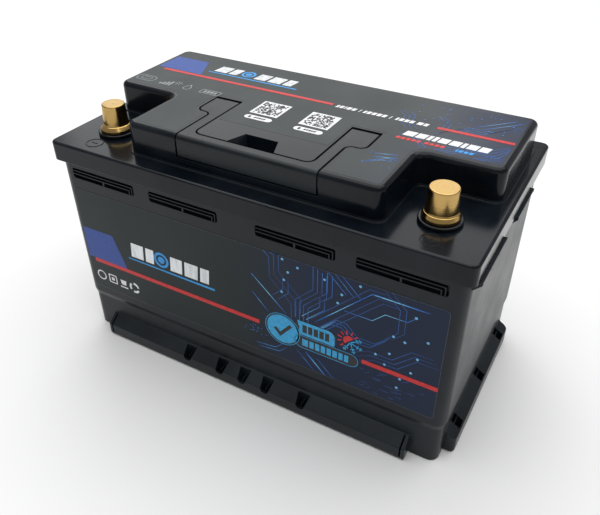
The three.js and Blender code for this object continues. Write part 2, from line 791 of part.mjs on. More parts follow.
const poles = [
  ["positive", 1, positiveTopDiameter],
  ["negative", -1, negativeTopDiameter],
];
for (const [pole, side, topDiameter] of poles) {
  const x = side * postX;
  addPart(`${pole}_post`, makePost(side, topDiameter), "brass");
  addPart(`${pole}_collar`, makeCollar(side), "collarPlastic");
  addPart(`${pole}_o_ring`, makeORing(side), "rubber");
  addPart(`${pole}_washer`, ring(4.5, 10, 163.2, 164.7, x, postY, 24), "steel");
  addPart(`${pole}_lug`, makeLug(side), "copper");
  addPart(`${pole}_nut`, toSolid(hexNut(13, 4.4, 5.5).translate(x, postY, 155.6)), "steel");
}

cellRows.forEach((row, index) => addPart(`cell_${index + 1}`, makeCell(row), "cellWrap"));
for (let index = 0; index < 3; index += 1) {
  const middle = (cellRows[index] + cellRows[index + 1]) / 2;
  const half = separatorThickness / 2;
  const sheet = box(cellStart + 2, cellEnd - 2, middle - half, middle + half, cellBottom, cellTop);
  addPart(`separator_${index + 1}`, sheet, "fibreBoard");
}
for (const [name, side] of [["end_plate_front", -1], ["end_plate_rear", 1]]) {
  const ys = [side * stackHalf, side * (stackHalf - endPlateThickness)];
  const plate = box(cellStart + 2, cellEnd - 2, Math.min(...ys), Math.max(...ys), cellBottom, cellTop);
  addPart(name, plate, "aluminium");
}
[-100, 10].forEach((x, index) => addPart(`pack_strap_${index + 1}`, makeStrap(x), "strap"));

const busbars = [
  [[cellRows[0], cellRows[1]], terminalLow],
  [[cellRows[1], cellRows[2]], terminalHigh],
  [[cellRows[2], cellRows[3]], terminalLow],
];
busbars.forEach(([rows, z], index) => {
  addPart(`series_busbar_${index + 1}`, plateOnStuds(rows, z, 0), "copper");
});
addPart("positive_tab", plateOnStuds([cellRows[0]], terminalHigh, 15), "copper");
addPart("negative_tab", plateOnStuds([cellRows[3]], terminalHigh, 15), "copper");
cellRows.forEach((row, index) => {
  addPart(`busbar_nut_${2 * index + 1}`, makeCellNut(row, terminalLow), "steel");
  addPart(`busbar_nut_${2 * index + 2}`, makeCellNut(row, terminalHigh), "steel");
});

addPart("bms_board", makeBoard(), "circuitBoard");
addPart("bms_heat_sink", makeHeatSink(), "aluminium");
screwSpots.forEach((spot, index) => addPart(`bms_screw_${index + 1}`, makeBoardScrew(spot), "steel"));
addPart("radio_module", makeRadioModule(), "circuitBoard");

addPart("positive_cable", tube(positiveRoute, 3.5, 16), "redCable");
addPart("bms_cable", tube(boardRoute, 3.5, 12), "blackCable");
addPart("negative_cable", tube(negativeRoute, 3.5, 26), "blackCable");
addPart("sense_harness", tube(harnessRoute, 1.6, 16, 3), "redCable");

const floorTop = wallThickness + gap;
addPart("base_foam", box(-141, 57, -73, 73, floorTop, floorTop + 2), "foam");
addPart("end_foam", box(boardX + 15, 145.5, -58, 58, 22, 112), "foam");
addPart("top_insulator", box(-141, 57, -74, 74, cellTop + 1.1, cellTop + 2.6), "fibreBoard");

export default group;
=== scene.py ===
"""Deep cycle battery: the looks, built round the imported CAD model.

Lengths are millimetres in the battery's own frame (+X along the long side, the labelled side faces -Y,
+Z up, origin under the middle of the case). Meshes are turned into metres when a piece is finished.
"""

import math
import random

import bmesh
import bpy
from mathutils import Matrix, Quaternion, Vector


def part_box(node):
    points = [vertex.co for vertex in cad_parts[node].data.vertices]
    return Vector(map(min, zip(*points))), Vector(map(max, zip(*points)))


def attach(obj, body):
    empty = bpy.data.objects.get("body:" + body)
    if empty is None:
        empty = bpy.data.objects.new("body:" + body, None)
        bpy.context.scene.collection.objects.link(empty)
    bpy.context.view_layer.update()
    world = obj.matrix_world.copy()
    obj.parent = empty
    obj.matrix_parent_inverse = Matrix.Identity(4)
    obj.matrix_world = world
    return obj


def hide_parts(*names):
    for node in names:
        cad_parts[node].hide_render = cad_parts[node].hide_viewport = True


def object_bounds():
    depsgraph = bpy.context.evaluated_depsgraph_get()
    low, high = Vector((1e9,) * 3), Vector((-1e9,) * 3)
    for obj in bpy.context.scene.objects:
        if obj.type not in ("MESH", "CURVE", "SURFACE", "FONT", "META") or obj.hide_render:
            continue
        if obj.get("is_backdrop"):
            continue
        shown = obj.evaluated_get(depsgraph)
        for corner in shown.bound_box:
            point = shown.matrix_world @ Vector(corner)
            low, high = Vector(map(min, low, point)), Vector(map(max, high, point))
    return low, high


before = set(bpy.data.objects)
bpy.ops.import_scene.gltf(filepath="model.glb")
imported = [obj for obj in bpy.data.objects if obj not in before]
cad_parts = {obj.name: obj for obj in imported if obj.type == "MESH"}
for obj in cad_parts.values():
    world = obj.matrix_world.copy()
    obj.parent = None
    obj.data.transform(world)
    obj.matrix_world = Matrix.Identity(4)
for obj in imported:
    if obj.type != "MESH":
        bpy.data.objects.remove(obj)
cad_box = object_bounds()

MM = 0.001


def node_box(node):
    low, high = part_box(node)
    return low / MM, high / MM


# ---- Driving dimensions -----------------------------------------------------------------------

tub_low, tub_high = node_box("case_tub")
lid_low, lid_high = node_box("lid")
handle_low, handle_high = node_box("carry_handle")
front_low, front_high = node_box("front_label")
top_low, top_high = node_box("top_label")
post_low, post_high = node_box("positive_post")
collar_low, collar_high = node_box("positive_collar")

LEDGE_X, LEDGE_Y = tub_high.x, tub_high.y  # outside of the hold-down ledges
RIM_X, RIM_Y = lid_high.x, lid_high.y
RIM_BOTTOM = lid_low.z
POST_X = (post_low.x + post_high.x) / 2
POST_Y = (post_low.y + post_high.y) / 2
POST_TOP = post_high.z
LABEL_FACE_Y = front_low.y
LABEL_FACE_Z = top_high.z
BLOCK_TOP = LABEL_FACE_Z - 0.08  # the film is thin

WALL_X, WALL_Y = 149.8, 79.8  # outside of the case walls
WALL = 3.4
CORNER = 8.0
RIM_CORNER = 5.0
END_SWELL = 1.2  # how far the end walls stand out below the lid
TUB_TOP = 162.4
STEP_LOW, STEP_HIGH, STEP_INSET = 31.0, 37.0, 1.2

LONG_LEDGE_HALF = 130.0
END_LEDGE_HALF = 65.0
LEDGE_EDGE_Z = 11.0
LEDGE_WALL_Z = 17.6
POCKETS_LONG = (-50, -20, 0, 20, 50)
POCKETS_END = (-50, 0, 50)

VENT_CENTRES = (-112, -42.5, 42.5, 112)
VENT_HALF = 28.0
VENT_Z = 145.2
VENT_HALF_HEIGHT = 4.0
VENT_DEPTH = 2.7

PLATE_TOP = 168.0
PLATE = 3.0
BLOCK_X = 146.2
BLOCK_BACK = 69.0
BLOCK_FRONT = -14.5
TONGUE_X = 93.0
TONGUE_FRONT = -68.1
BLOCK_CORNER = 6.5
BLOCK_FILLET = 3.5
SHELL = 3.0

PIVOT_Y, PIVOT_Z = -15.5, 184.0
PIN_HOLE = 2.35
ARM_OUTER, ARM_INNER = 51.0, 43.5
BAR_INNER = -60.0
PAD_OUTER, PAD_FRONT, PAD_REAR = handle_high.x, -28.0, handle_high.y
PAD_BEND, ARM_BEND = 5.0, 6.0
BAR_BOTTOM = handle_low.z
HANDLE_BOTTOM = 179.8

ARC_STEPS = 8  # segments in each quarter turn
INK = 0.05  # thickness of one printed layer
FLAT_START = 0.4  # flat border inside a rounding, so that the rounding's normals end there
TRACK = 0.75  # printed share of a track's nominal width

# ---- Outlines ---------------------------------------------------------------------------------


def arc(centre_x, centre_y, radius, start, end, steps=ARC_STEPS):
    angles = [math.radians(start + (end - start) * step / steps) for step in range(steps + 1)]
    return [(centre_x + radius * math.cos(a), centre_y + radius * math.sin(a)) for a in angles]


def rounded_rect(half_x, half_y, radius, centre=(0.0, 0.0), steps=ARC_STEPS):
    x, y = half_x - radius, half_y - radius
    corners = [(x, y, 0), (-x, y, 90), (-x, -y, 180), (x, -y, 270)]
    return [
        point
        for corner_x, corner_y, turn in corners
        for point in arc(centre[0] + corner_x, centre[1] + corner_y, radius, turn, turn + 90, steps)
    ]


def block_outline(inset):
    """The raised block from above: a wide part behind and a tongue that reaches forward."""
    outer, inner = BLOCK_CORNER - inset, BLOCK_CORNER + inset
    wide, tongue = BLOCK_X - inset - outer, TONGUE_X - inset
    back, front, nose = BLOCK_BACK - inset - outer, BLOCK_FRONT + inset, TONGUE_FRONT + inset + outer
    return [
        *arc(wide, back, outer, 0, 90),
        *arc(-wide, back, outer, 90, 180),
        *arc(-wide, front + outer, outer, 180, 270),
        *arc(-tongue - inner, front - inner, inner, 90, 0),
        *arc(-tongue + outer, nose, outer, 180, 270),
        *arc(tongue - outer, nose, outer, 270, 360),
        *arc(tongue + inner, front - inner, inner, 180, 90),
        *arc(wide, front + outer, outer, 270, 360),
    ]


def handle_outline(outward, inward, rearward, front):
    """The handle from above, grown by clearances outwards, inwards and at its rear ends."""
    side, pad = ARM_OUTER + outward, PAD_OUTER + outward
    inner, rear = ARM_INNER - inward, PAD_REAR + rearward
    bend_x, bend_y, bend = ARM_OUTER + PAD_BEND, PAD_FRONT - PAD_BEND, PAD_BEND - outward
    turn_x, turn_y, turn = PAD_OUTER - PAD_BEND, PAD_FRONT + PAD_BEND, PAD_BEND + outward
    loop_x, loop_y, loop = ARM_INNER - ARM_BEND, BAR_INNER + ARM_BEND, ARM_BEND - inward
    return [
        (-side, front),
        (side, front),
        *arc(bend_x, bend_y, bend, 180, 90),
        *arc(turn_x, turn_y, turn, -90, 0),
        (pad, rear),
        (inner, rear),
        *arc(loop_x, loop_y, loop, 0, -90),
        *arc(-loop_x, loop_y, loop, -90, -180),
        (-inner, rear),
        (-pad, rear),
        *arc(-turn_x, turn_y, turn, 180, 270),
        *arc(-bend_x, bend_y, bend, 90, 0),
    ]


def rounding(width, height, steps=6):
    """(inset, drop) pairs round an elliptical edge, from its side up to its top."""
    angles = [math.radians(90 * step / steps) for step in range(steps + 1)]
    return [(width * (1 - math.cos(a)), height * (1 - math.sin(a))) for a in angles]


# ---- Solids -----------------------------------------------------------------------------------


def new_object(name, mesh):
    piece = bpy.data.objects.new(name, mesh)
    bpy.context.scene.collection.objects.link(piece)
    return piece


def from_faces(vertices, faces, name="solid"):
    mesh = bpy.data.meshes.new(name)
    mesh.from_pydata([tuple(vertex) for vertex in vertices], [], faces)
    shape = bmesh.new()
    shape.from_mesh(mesh)
    bmesh.ops.recalc_face_normals(shape, faces=shape.faces)
    shape.to_mesh(mesh)
    shape.free()
    return new_object(name, mesh)


def skin(loops):
    """A closed solid through loops of points, capped at both ends."""
    count = len(loops[0])
    vertices = [point for loop in loops for point in loop]
    faces = [tuple(range(count)), tuple(range(len(vertices) - count, len(vertices)))]
    for level in range(len(loops) - 1):
        start = level * count
        for index in range(count):
            after = (index + 1) % count
            faces.append((start + index, start + after, start + count + after, start + count + index))
    return from_faces(vertices, faces)


def tower(outline_at, stations):
    """A solid with level sections: outline_at(inset) gives each one, stations are (inset, z)."""
    return skin([[(x, y, z) for x, y in outline_at(inset)] for inset, z in stations])


def prism(outline, bottom, top):
    return tower(lambda _: outline, [(0, bottom), (0, top)])


def box(x0, x1, y0, y1, z0, z1):
    (x0, x1), (y0, y1) = sorted((x0, x1)), sorted((y0, y1))
    return prism([(x0, y0), (x1, y0), (x1, y1), (x0, y1)], z0, z1)


def along_x(profile, x0, x1):
    return skin([[(x, y, z) for y, z in profile] for x in (x0, x1)])


def along_y(profile, y0, y1):
    return skin([[(x, y, z) for x, z in profile] for y in (y0, y1)])


def circle(x, y, radius, sides=64):
    return arc(x, y, radius, 0, 360, sides)[:-1]


def rod_x(radius, x0, x1, y, z, sides=32):
    return along_x(circle(y, z, radius, sides), x0, x1)


def turned(profile, x, y, sides=96):
    """A turned piece from (radius, z) pairs that start and end on the axis."""
    rings = [[(*point, z) for point in circle(x, y, radius, sides)] for radius, z in profile[1:-1]]
    vertices = [(x, y, profile[0][1]), *(p for one in rings for p in one), (x, y, profile[-1][1])]
    last = len(vertices) - 1
    faces = []
    for index in range(sides):
        after = (index + 1) % sides
        faces.append((0, 1 + after, 1 + index))
        faces.append((last, last - sides + index, last - sides + after))
        for level in range(len(rings) - 1):
            start = 1 + level * sides
            faces.append((start + index, start + after, start + sides + after, start + sides + index))
    return from_faces(vertices, faces)


def ring(inner, outer, bottom, top, x, y, sides=64):
    profile = [(inner, bottom), (outer, bottom), (outer, top), (inner, top)]
    loops = [[(*point, z) for point in circle(x, y, radius, sides)] for radius, z in profile]
    vertices = [point for loop in loops for point in loop]
    faces = []
    for level in range(4):
        start, end = level * sides, (level + 1) % 4 * sides
        for index in range(sides):
            after = (index + 1) % sides
            faces.append((start + index, start + after, end + after, end + index))
    return from_faces(vertices, faces)


def settle(piece):
    """Applies the piece's modifiers to its mesh."""
    graph = bpy.context.evaluated_depsgraph_get()
    made = bpy.data.meshes.new_from_object(piece.evaluated_get(graph))
    old = piece.data
    piece.modifiers.clear()
    piece.data = made
    bpy.data.meshes.remove(old)
    return piece


def combine(operation, body, tools):
    for tool in tools:
        modifier = body.modifiers.new("combine", "BOOLEAN")
        modifier.operation = operation
        modifier.solver = "MANIFOLD"
        modifier.object = tool
    settle(body)
    for tool in tools:
        bpy.data.meshes.remove(tool.data)
    return body


def cut(body, *tools):
    return combine("DIFFERENCE", body, tools)


def join(body, *tools):
    return combine("UNION", body, tools)


def overlap(body, *tools):
    return combine("INTERSECT", body, tools)


def tidy_faces(piece):
    """Merges what booleans leave behind: doubled points and flat faces in several parts."""
    shape = bmesh.new()
    shape.from_mesh(piece.data)
    bmesh.ops.remove_doubles(shape, verts=shape.verts, dist=0.004)
    bmesh.ops.dissolve_degenerate(shape, edges=shape.edges, dist=0.004)
    bmesh.ops.dissolve_limit(
        shape, angle_limit=math.radians(0.4), verts=shape.verts, edges=shape.edges
    )
    shape.to_mesh(piece.data)
    shape.free()


def soften(piece, width, segments=3):
    """Rounds every edge sharper than the facets of a curve; rounded edges aren't rounded again."""
    tidy_faces(piece)
    bevel = piece.modifiers.new("edges", "BEVEL")
    bevel.width = width
    bevel.segments = segments
    bevel.limit_method = "ANGLE"
    bevel.angle_limit = math.radians(34)
    bevel.use_clamp_overlap = False
    return settle(piece)


def finish_piece(piece, name, material, body="battery", nodes=(), edge=0.0):
    """Rounds the edges, smooths the shading, turns millimetres into metres and hands the piece over."""
    if edge:
        soften(piece, edge, 2)
    piece.data.shade_smooth()
    weighted = piece.modifiers.new("normals", "WEIGHTED_NORMAL")
    weighted.weight = 70
    settle(piece)
    piece.data.transform(Matrix.Scale(MM, 4))
    return hand_over(piece, name, material, body, nodes)


def hand_over(piece, name, material, body="battery", nodes=()):
    piece.name = name
    piece.data.name = name
    piece.data.materials.clear()
    piece.data.materials.append(material)
    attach(piece, body)
    if nodes:
        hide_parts(*nodes)
    return piece


# ---- Material nodes ---------------------------------------------------------------------------


class Finish:
    """A material with a Principled surface, and short calls that add nodes to it."""

    def __init__(self, name, colour, roughness, metallic=0.0, specular=0.5):
        self.material = bpy.data.materials.new(name)
        self.material.use_nodes = True
        self.tree = self.material.node_tree
        self.surface = next(n for n in self.tree.nodes if n.type == "BSDF_PRINCIPLED")
        self.surface.inputs["Base Color"].default_value = (*colour, 1)
        self.surface.inputs["Roughness"].default_value = roughness
        self.surface.inputs["Metallic"].default_value = metallic
        self.surface.inputs["Specular IOR Level"].default_value = specular
        self.places = self.add("ShaderNodeTexCoord").outputs["Object"]

    def add(self, kind, inputs=None, **settings):
        made = self.tree.nodes.new(kind)
        for key, value in settings.items():
            setattr(made, key, value)
        for key, value in (inputs or {}).items():
            if isinstance(value, bpy.types.NodeSocket):
                self.tree.links.new(value, made.inputs[key])
            else:
                made.inputs[key].default_value = value
        return made

    def math(self, operation, first, second=0.0):
        return self.add("ShaderNodeMath", {0: first, 1: second}, operation=operation).outputs[0]

    def noise(self, per_mm, detail=3.0, roughness=0.5, distortion=0.0, vector=None):
        inputs = {
            "Vector": vector or self.places,
            "Scale": per_mm / MM,
            "Detail": detail,
            "Roughness": roughness,
            "Distortion": distortion,
        }
        return self.add("ShaderNodeTexNoise", inputs).outputs["Fac"]

    def stretched(self, scale):
        return self.add("ShaderNodeMapping", {"Vector": self.places, "Scale": scale}).outputs[0]

    def remap(self, value, low, high, to_low=0.0, to_high=1.0):
        inputs = {"Value": value, 1: low, 2: high, 3: to_low, 4: to_high}
        return self.add("ShaderNodeMapRange", inputs, interpolation_type="SMOOTHSTEP").outputs[0]

    def mix(self, factor, first, second):
        made = self.add("ShaderNodeMix", data_type="RGBA")
        for index, value in ((0, factor), (6, first), (7, second)):
            if isinstance(value, bpy.types.NodeSocket):
                self.tree.links.new(value, made.inputs[index])
            else:
                made.inputs[index].default_value = value if index == 0 else (*value[:3], 1)
        return made.outputs[2]

    def colour(self, value):
        self.tree.links.new(value, self.surface.inputs["Base Color"])

    def roughness(self, value):
        self.tree.links.new(value, self.surface.inputs["Roughness"])

    def bumps(self, *layers):
        """Layers of (height, strength, depth in mm) laid over each other."""
        normal = None
        for height, strength, depth in layers:
            inputs = {"Height": height, "Strength": strength, "Distance": depth * MM}
            if normal is not None:
                inputs["Normal"] = normal
            normal = self.add("ShaderNodeBump", inputs).outputs[0]
        self.tree.links.new(normal, self.surface.inputs["Normal"])


def moulded(name, colour, roughness, grain=0.25, spread=0.06, wave=0.25, specular=0.5, wear=0.5):
    """Injection moulded plastic: fine grain, shallow flow waves, hairline scratches, rubbed edges, dust."""
    finish = Finish(name, colour, roughness, specular=specular)
    clouds = finish.noise(0.02, 4, 0.6)
    flow = finish.noise(0.012, 2, 0.4, 0.6, finish.stretched((1, 1, 2.2)))
    fine = finish.noise(1.6, 2, 0.6)
    scratch = finish.noise(0.5, 2, 0.5, 0, finish.stretched((0.06, 1.6, 1.6)))
    hairlines = finish.remap(scratch, 0.66, 0.72)
    edges = finish.add("ShaderNodeNewGeometry").outputs["Pointiness"]
    rubbed = finish.math("MULTIPLY", finish.remap(edges, 0.52, 0.6), finish.noise(0.3, 4, 0.7))
    dust = finish.remap(finish.noise(0.9, 5, 0.8), 0.62, 0.78, 0, 0.12)
    lighter = tuple(channel * 1.3 + 0.004 for channel in colour)
    darker = tuple(channel * 0.8 for channel in colour)
    worn = tuple(channel * 2.2 + 0.012 for channel in colour)
    shade = finish.mix(finish.remap(clouds, 0.3, 0.7), darker, lighter)
    shade = finish.mix(finish.math("MULTIPLY", rubbed, wear), shade, worn)
    finish.colour(finish.mix(dust, shade, (0.11, 0.11, 0.105)))
    gloss = finish.remap(clouds, 0.25, 0.75, roughness - spread, roughness + spread)
    finish.roughness(finish.math("ADD", gloss, finish.math("MULTIPLY", hairlines, 0.07)))
    finish.bumps((flow, wave, 0.5), (fine, grain, 0.02), (hairlines, 0.08, 0.02))
    return finish.material


def printed(name, colour, roughness=0.4, metallic=0.0, specular=0.4):
    """Screen printed ink: slight mottling and a soft film texture."""
    finish = Finish(name, colour, roughness, metallic, specular)
    mottle = finish.noise(0.35, 4, 0.6)
    deeper = tuple(channel * 0.86 for channel in colour)
    brighter = tuple(min(1.0, channel * 1.08 + 0.004) for channel in colour)
    finish.colour(finish.mix(finish.remap(mottle, 0.35, 0.65), deeper, brighter))
    finish.roughness(finish.remap(mottle, 0.3, 0.7, roughness - 0.04, roughness + 0.05))
    finish.bumps((finish.noise(1.2, 2), 0.12, 0.015))
    return finish.material


def glowing_ink():
    """Trace ink: deep blue that brightens to pale cyan where the print's glow attribute is high."""
    finish = Finish("trace_ink", (0.01, 0.06, 0.3), 0.4, specular=0.4)
    glow = finish.add("ShaderNodeAttribute", attribute_name="glow").outputs["Fac"]
    mottle = finish.noise(0.5, 3)
    shade = finish.mix(finish.remap(glow, 0.0, 0.45), (0.004, 0.02, 0.1), (0.016, 0.17, 0.62))
    shade = finish.mix(finish.remap(glow, 0.4, 1.0), shade, (0.26, 0.72, 0.93))
    faded = finish.mix(finish.remap(mottle, 0.3, 0.7, 0, 0.3), shade, (0.012, 0.05, 0.2))
    finish.colour(faded)
    finish.roughness(finish.remap(mottle, 0.3, 0.7, 0.36, 0.46))
    finish.bumps((finish.noise(1.2, 2), 0.12, 0.015))
    return finish.material


def silver_ink():
    """Metallic foil print, brushed up and down, in streaks of lighter and darker foil."""
    finish = Finish("silver_foil", (0.62, 0.64, 0.66), 0.3, 0.85)
    brushed = finish.noise(0.12, 1, 0.5, 0, finish.stretched((3, 3, 0.5)))
    finish.colour(finish.mix(finish.remap(brushed, 0.3, 0.7), (0.56, 0.58, 0.6), (0.74, 0.76, 0.78)))
    finish.roughness(finish.remap(brushed, 0.3, 0.7, 0.26, 0.4))
    finish.bumps((brushed, 0.1, 0.02))
    return finish.material


def label_film(name, navy_from, navy_to, specular):
    """Printed film: charcoal on the left that turns to navy between two places along X."""
    charcoal, navy = (0.005, 0.013, 0.0148), (0.002, 0.0105, 0.04)
    finish = Finish(name, charcoal, 0.36, specular=specular)
    along = finish.add("ShaderNodeSeparateXYZ", {0: finish.places}).outputs[0]
    clouds = finish.noise(0.018, 3, 0.5)
    wander = finish.math("ADD", along, finish.math("MULTIPLY", clouds, 30 * MM))
    blend = finish.remap(wander, (navy_from + 15) * MM, (navy_to + 15) * MM)
    shade = finish.mix(blend, charcoal, navy)
    specks = finish.remap(finish.noise(2.2, 2, 0.7), 0.6, 0.75, 0, 0.1)
    finish.colour(finish.mix(specks, shade, (0.05, 0.055, 0.06)))
    finish.roughness(finish.remap(clouds, 0.3, 0.7, 0.32, 0.41))
    waves = finish.noise(0.01, 2, 0.4)
    finish.bumps((waves, 0.25, 0.4), (finish.noise(1.4, 3, 0.6), 0.16, 0.02))
    return finish.material


def turned_metal(name, colour, dark, roughness=0.24):
    """Machined metal: tool marks that run round the post's axis, a little tarnish and fine scratches."""
    finish = Finish(name, colour, roughness, 1.0)
    parts = finish.add("ShaderNodeSeparateXYZ", {0: finish.places})
    across = finish.math("SUBTRACT", finish.math("ABSOLUTE", parts.outputs[0]), POST_X * MM)
    along = finish.math("SUBTRACT", parts.outputs[1], POST_Y * MM)
    squares = finish.math("ADD", finish.math("POWER", across, 2.0), finish.math("POWER", along, 2.0))
    radius = finish.math("SQRT", squares)
    path = finish.math("ADD", radius, parts.outputs[2])
    marks = finish.add(
        "ShaderNodeTexNoise", {"W": path, "Scale": 1.9 / MM, "Detail": 4.0}, noise_dimensions="1D"
    ).outputs["Fac"]
    broad = finish.add(
        "ShaderNodeTexNoise", {"W": path, "Scale": 0.45 / MM, "Detail": 2.0}, noise_dimensions="1D"
    ).outputs["Fac"]
    tarnish = finish.noise(0.12, 5, 0.65, 0.4)
    shade = finish.mix(finish.remap(tarnish, 0.5, 0.85, 0, 0.3), colour, dark)
    finish.colour(finish.mix(finish.remap(marks, 0.35, 0.65, 0, 0.35), shade, dark))
    worn = finish.remap(tarnish, 0.3, 0.75, roughness - 0.03, roughness + 0.05)
    finish.roughness(worn)
    finish.bumps((broad, 0.3, 0.05), (marks, 0.35, 0.03), (finish.noise(1.5, 3), 0.1, 0.01))
    return finish.material


def plain_metal(name, colour, roughness, brushed=(1, 1, 1)):
    finish = Finish(name, colour, roughness, 1.0)
    grain = finish.noise(0.9, 4, 0.6, 0, finish.stretched(brushed))
    stain = finish.noise(0.05, 4, 0.6)
    duller = tuple(channel * 0.72 for channel in colour)
    finish.colour(finish.mix(finish.remap(stain, 0.4, 0.7), colour, duller))
    finish.roughness(finish.remap(grain, 0.3, 0.7, roughness - 0.06, roughness + 0.1))
    finish.bumps((grain, 0.25, 0.02))
    return finish.material


def film_wrap(name, colour):
    finish = Finish(name, colour, 0.35)
    creases = finish.noise(0.06, 4, 0.6, 1.2)
    # Painted shade: a darker copy of the colour fills the low parts of the creases, where the bump sinks.
    deeper = tuple(channel * 0.7 for channel in colour)
    finish.colour(finish.mix(finish.remap(creases, 0.35, 0.65), deeper, colour))
    finish.roughness(finish.remap(creases, 0.3, 0.7, 0.26, 0.44))
    finish.bumps((creases, 0.4, 0.3), (finish.noise(1.5, 2), 0.1, 0.01))
    return finish.material


def woven(name, colour, per_mm, roughness):
    """Cloth-like cover: two crossing bands of threads."""
    finish = Finish(name, colour, roughness)
    threads = [
        finish.add(
            "ShaderNodeTexWave",
            {"Vector": finish.places, "Scale": per_mm / MM, "Distortion": 0.6},
            bands_direction=axis,
        ).outputs["Fac"]
        for axis in ("X", "Z")
    ]
    weave = finish.math("MULTIPLY", *threads)
    deeper = tuple(channel * 0.6 for channel in colour)
    finish.colour(finish.mix(finish.remap(weave, 0.1, 0.6), deeper, colour))
    finish.roughness(finish.remap(weave, 0.1, 0.6, roughness - 0.1, roughness + 0.1))
    finish.bumps((weave, 0.5, 0.15))
    return finish.material


def cellular(name, colour):
    finish = Finish(name, colour, 0.9)
    cells = finish.add(
        "ShaderNodeTexVoronoi", {"Vector": finish.places, "Scale": 0.8 / MM}
    ).outputs["Distance"]
    # Painted shade: a darker copy of the colour fills the sunken middle of each cell.
    deeper = tuple(channel * 0.5 for channel in colour)
    finish.colour(finish.mix(finish.remap(cells, 0.1, 0.6), deeper, colour))
    finish.roughness(finish.remap(cells, 0.0, 0.7, 0.82, 0.98))
    finish.bumps((cells, 0.6, 0.4))
    return finish.material


CASE = moulded("case_plastic", (0.0042, 0.0078, 0.0118), 0.34, grain=0.3, wave=0.3, specular=0.26)
LID = moulded("lid_plastic", (0.0025, 0.0048, 0.0082), 0.16, grain=0.05, spread=0.04, wave=0.2, specular=0.22)
HANDLE = moulded("handle_plastic", (0.004, 0.0075, 0.0105), 0.3, grain=0.3, wave=0.15, specular=0.28)
COLLAR = moulded("collar_plastic", (0.001, 0.0022, 0.0045), 0.22, grain=0.08, wave=0.1, specular=0.3)
BRASS = turned_metal("brass", (0.55, 0.365, 0.13), (0.36, 0.22, 0.07), 0.2)
FRONT_FILM = label_film("front_label_film", -10, 60, 0.26)
TOP_FILM = label_film("top_label_film", 60, 130, 0.38)
BLUE_INK = printed("blue_ink", (0.011, 0.058, 0.31))
RED_INK = printed("red_ink", (0.6, 0.018, 0.02))
CYAN_INK = printed("cyan_ink", (0.03, 0.36, 0.68))
WHITE_INK = printed("white_ink", (0.8, 0.81, 0.82))
GREY_INK = printed("grey_ink", (0.3, 0.32, 0.33))
EDGE_INK = printed("film_edge", (0.06, 0.066, 0.072), 0.3)
DARK_INK = printed("dark_ink", (0.012, 0.013, 0.015))
SKY_INK = printed("sky_ink", (0.02, 0.3, 0.72))
SILVER_INK = silver_ink()
TRACE_INK = glowing_ink()

# ---- Case tub ---------------------------------------------------------------------------------


def long_ledge(side):
    """Hold-down ledge along a long side: sloping top, flared notches with webs, a slot near each end."""
    wall = WALL_Y - STEP_INSET
    profile = [
        (side * (wall - 1), 0.6),
        (side * (LEDGE_Y - 0.9), 0.6),
        (side * LEDGE_Y, 1.8),
        (side * LEDGE_Y, LEDGE_EDGE_Z),
        (side * wall, LEDGE_WALL_Z),
        (side * (wall - 1), LEDGE_WALL_Z),
    ]
    ledge = soften(along_x(profile, -LONG_LEDGE_HALF, LONG_LEDGE_HALF), 0.5)
    throat = [*arc(0, 10.8, 3.4, 180, 360, 6), (5.6, 20), (-5.6, 20)]
    tools = []
    for x in POCKETS_LONG:
        tools.append(along_y([(x + u, z) for u, z in throat], side * (wall + 1.2), side * (LEDGE_Y + 1)))
        tools.append(prism(rounded_rect(3.4, 2.6, 1.2, (x, side * (wall + 4)), 3), 3.5, 12))
    for end in (-1, 1):
        tools.append(box(end * 126.2, end * 127.4, side * (wall + 0.6), side * (LEDGE_Y + 1), 2.6, 20))
    for tool in tools:
        cut(ledge, tool)
    webs = [
        box(x - 0.45, x + 0.45, side * (wall - 0.5), side * (wall + 6.2), 2, 10.4) for x in POCKETS_LONG
    ]
    return join(ledge, *webs)


def end_ledge(side):
    """Hold-down ledge along an end: a ridge along its middle, notched right across in three places."""
    wall = WALL_X - STEP_INSET
    ridge = wall + 3.1
    profile = [
        (side * (wall - 1), 0.6),
        (side * (LEDGE_X - 0.9), 0.6),
        (side * LEDGE_X, 1.8),
        (side * LEDGE_X, 13.2),
        (side * ridge, 16.8),
        (side * wall, 19.6),
        (side * (wall - 1), 19.6),
    ]
    ledge = along_y(profile, -END_LEDGE_HALF, END_LEDGE_HALF)
    overlap(ledge, prism(rounded_rect(LEDGE_X, END_LEDGE_HALF, 3.4, steps=3), -1, 20))
    soften(ledge, 0.45)
    notches = [
        box(side * (wall + 0.5), side * (LEDGE_X - 1.0), y - 4, y + 4, 6, 20) for y in POCKETS_END
    ]
    webs = [
        along_y([(side * x, z) for x, z in ((ridge - 0.4, 5), (ridge + 0.4, 5), (ridge + 0.4, 15.2),
                                            (ridge - 0.4, 15.2))], y - 4.5, y + 4.5)
        for y in POCKETS_END
    ]
    return join(cut(ledge, *notches), *webs)


def carry_lip(side, y0, y1):
    """Finger lip under the rim at an end of the case: a thin shelf on ribs, open to the outside."""
    wall = WALL_X - 1
    outer = LEDGE_X - 1.6
    top = RIM_BOTTOM - 0.4
    profile = [
        (side * wall, top - 9.5),
        (side * (outer - 1.2), top - 3.4),
        (side * outer, top - 2.2),
        (side * outer, top),
        (side * wall, top),
    ]
    lip = soften(along_y(profile, y0, y1), 0.3)
    shares = (0.035, 0.335, 0.365, 0.655, 0.685, 0.965)
    bays = [y0 + share * (y1 - y0) for share in shares]
    hollows = [
        box(side * (wall + 3.2), side * (outer + 1), low, high, top - 12, top - 1.1)
        for low, high in zip(bays[::2], bays[1::2])
    ]
    return cut(lip, *hollows)


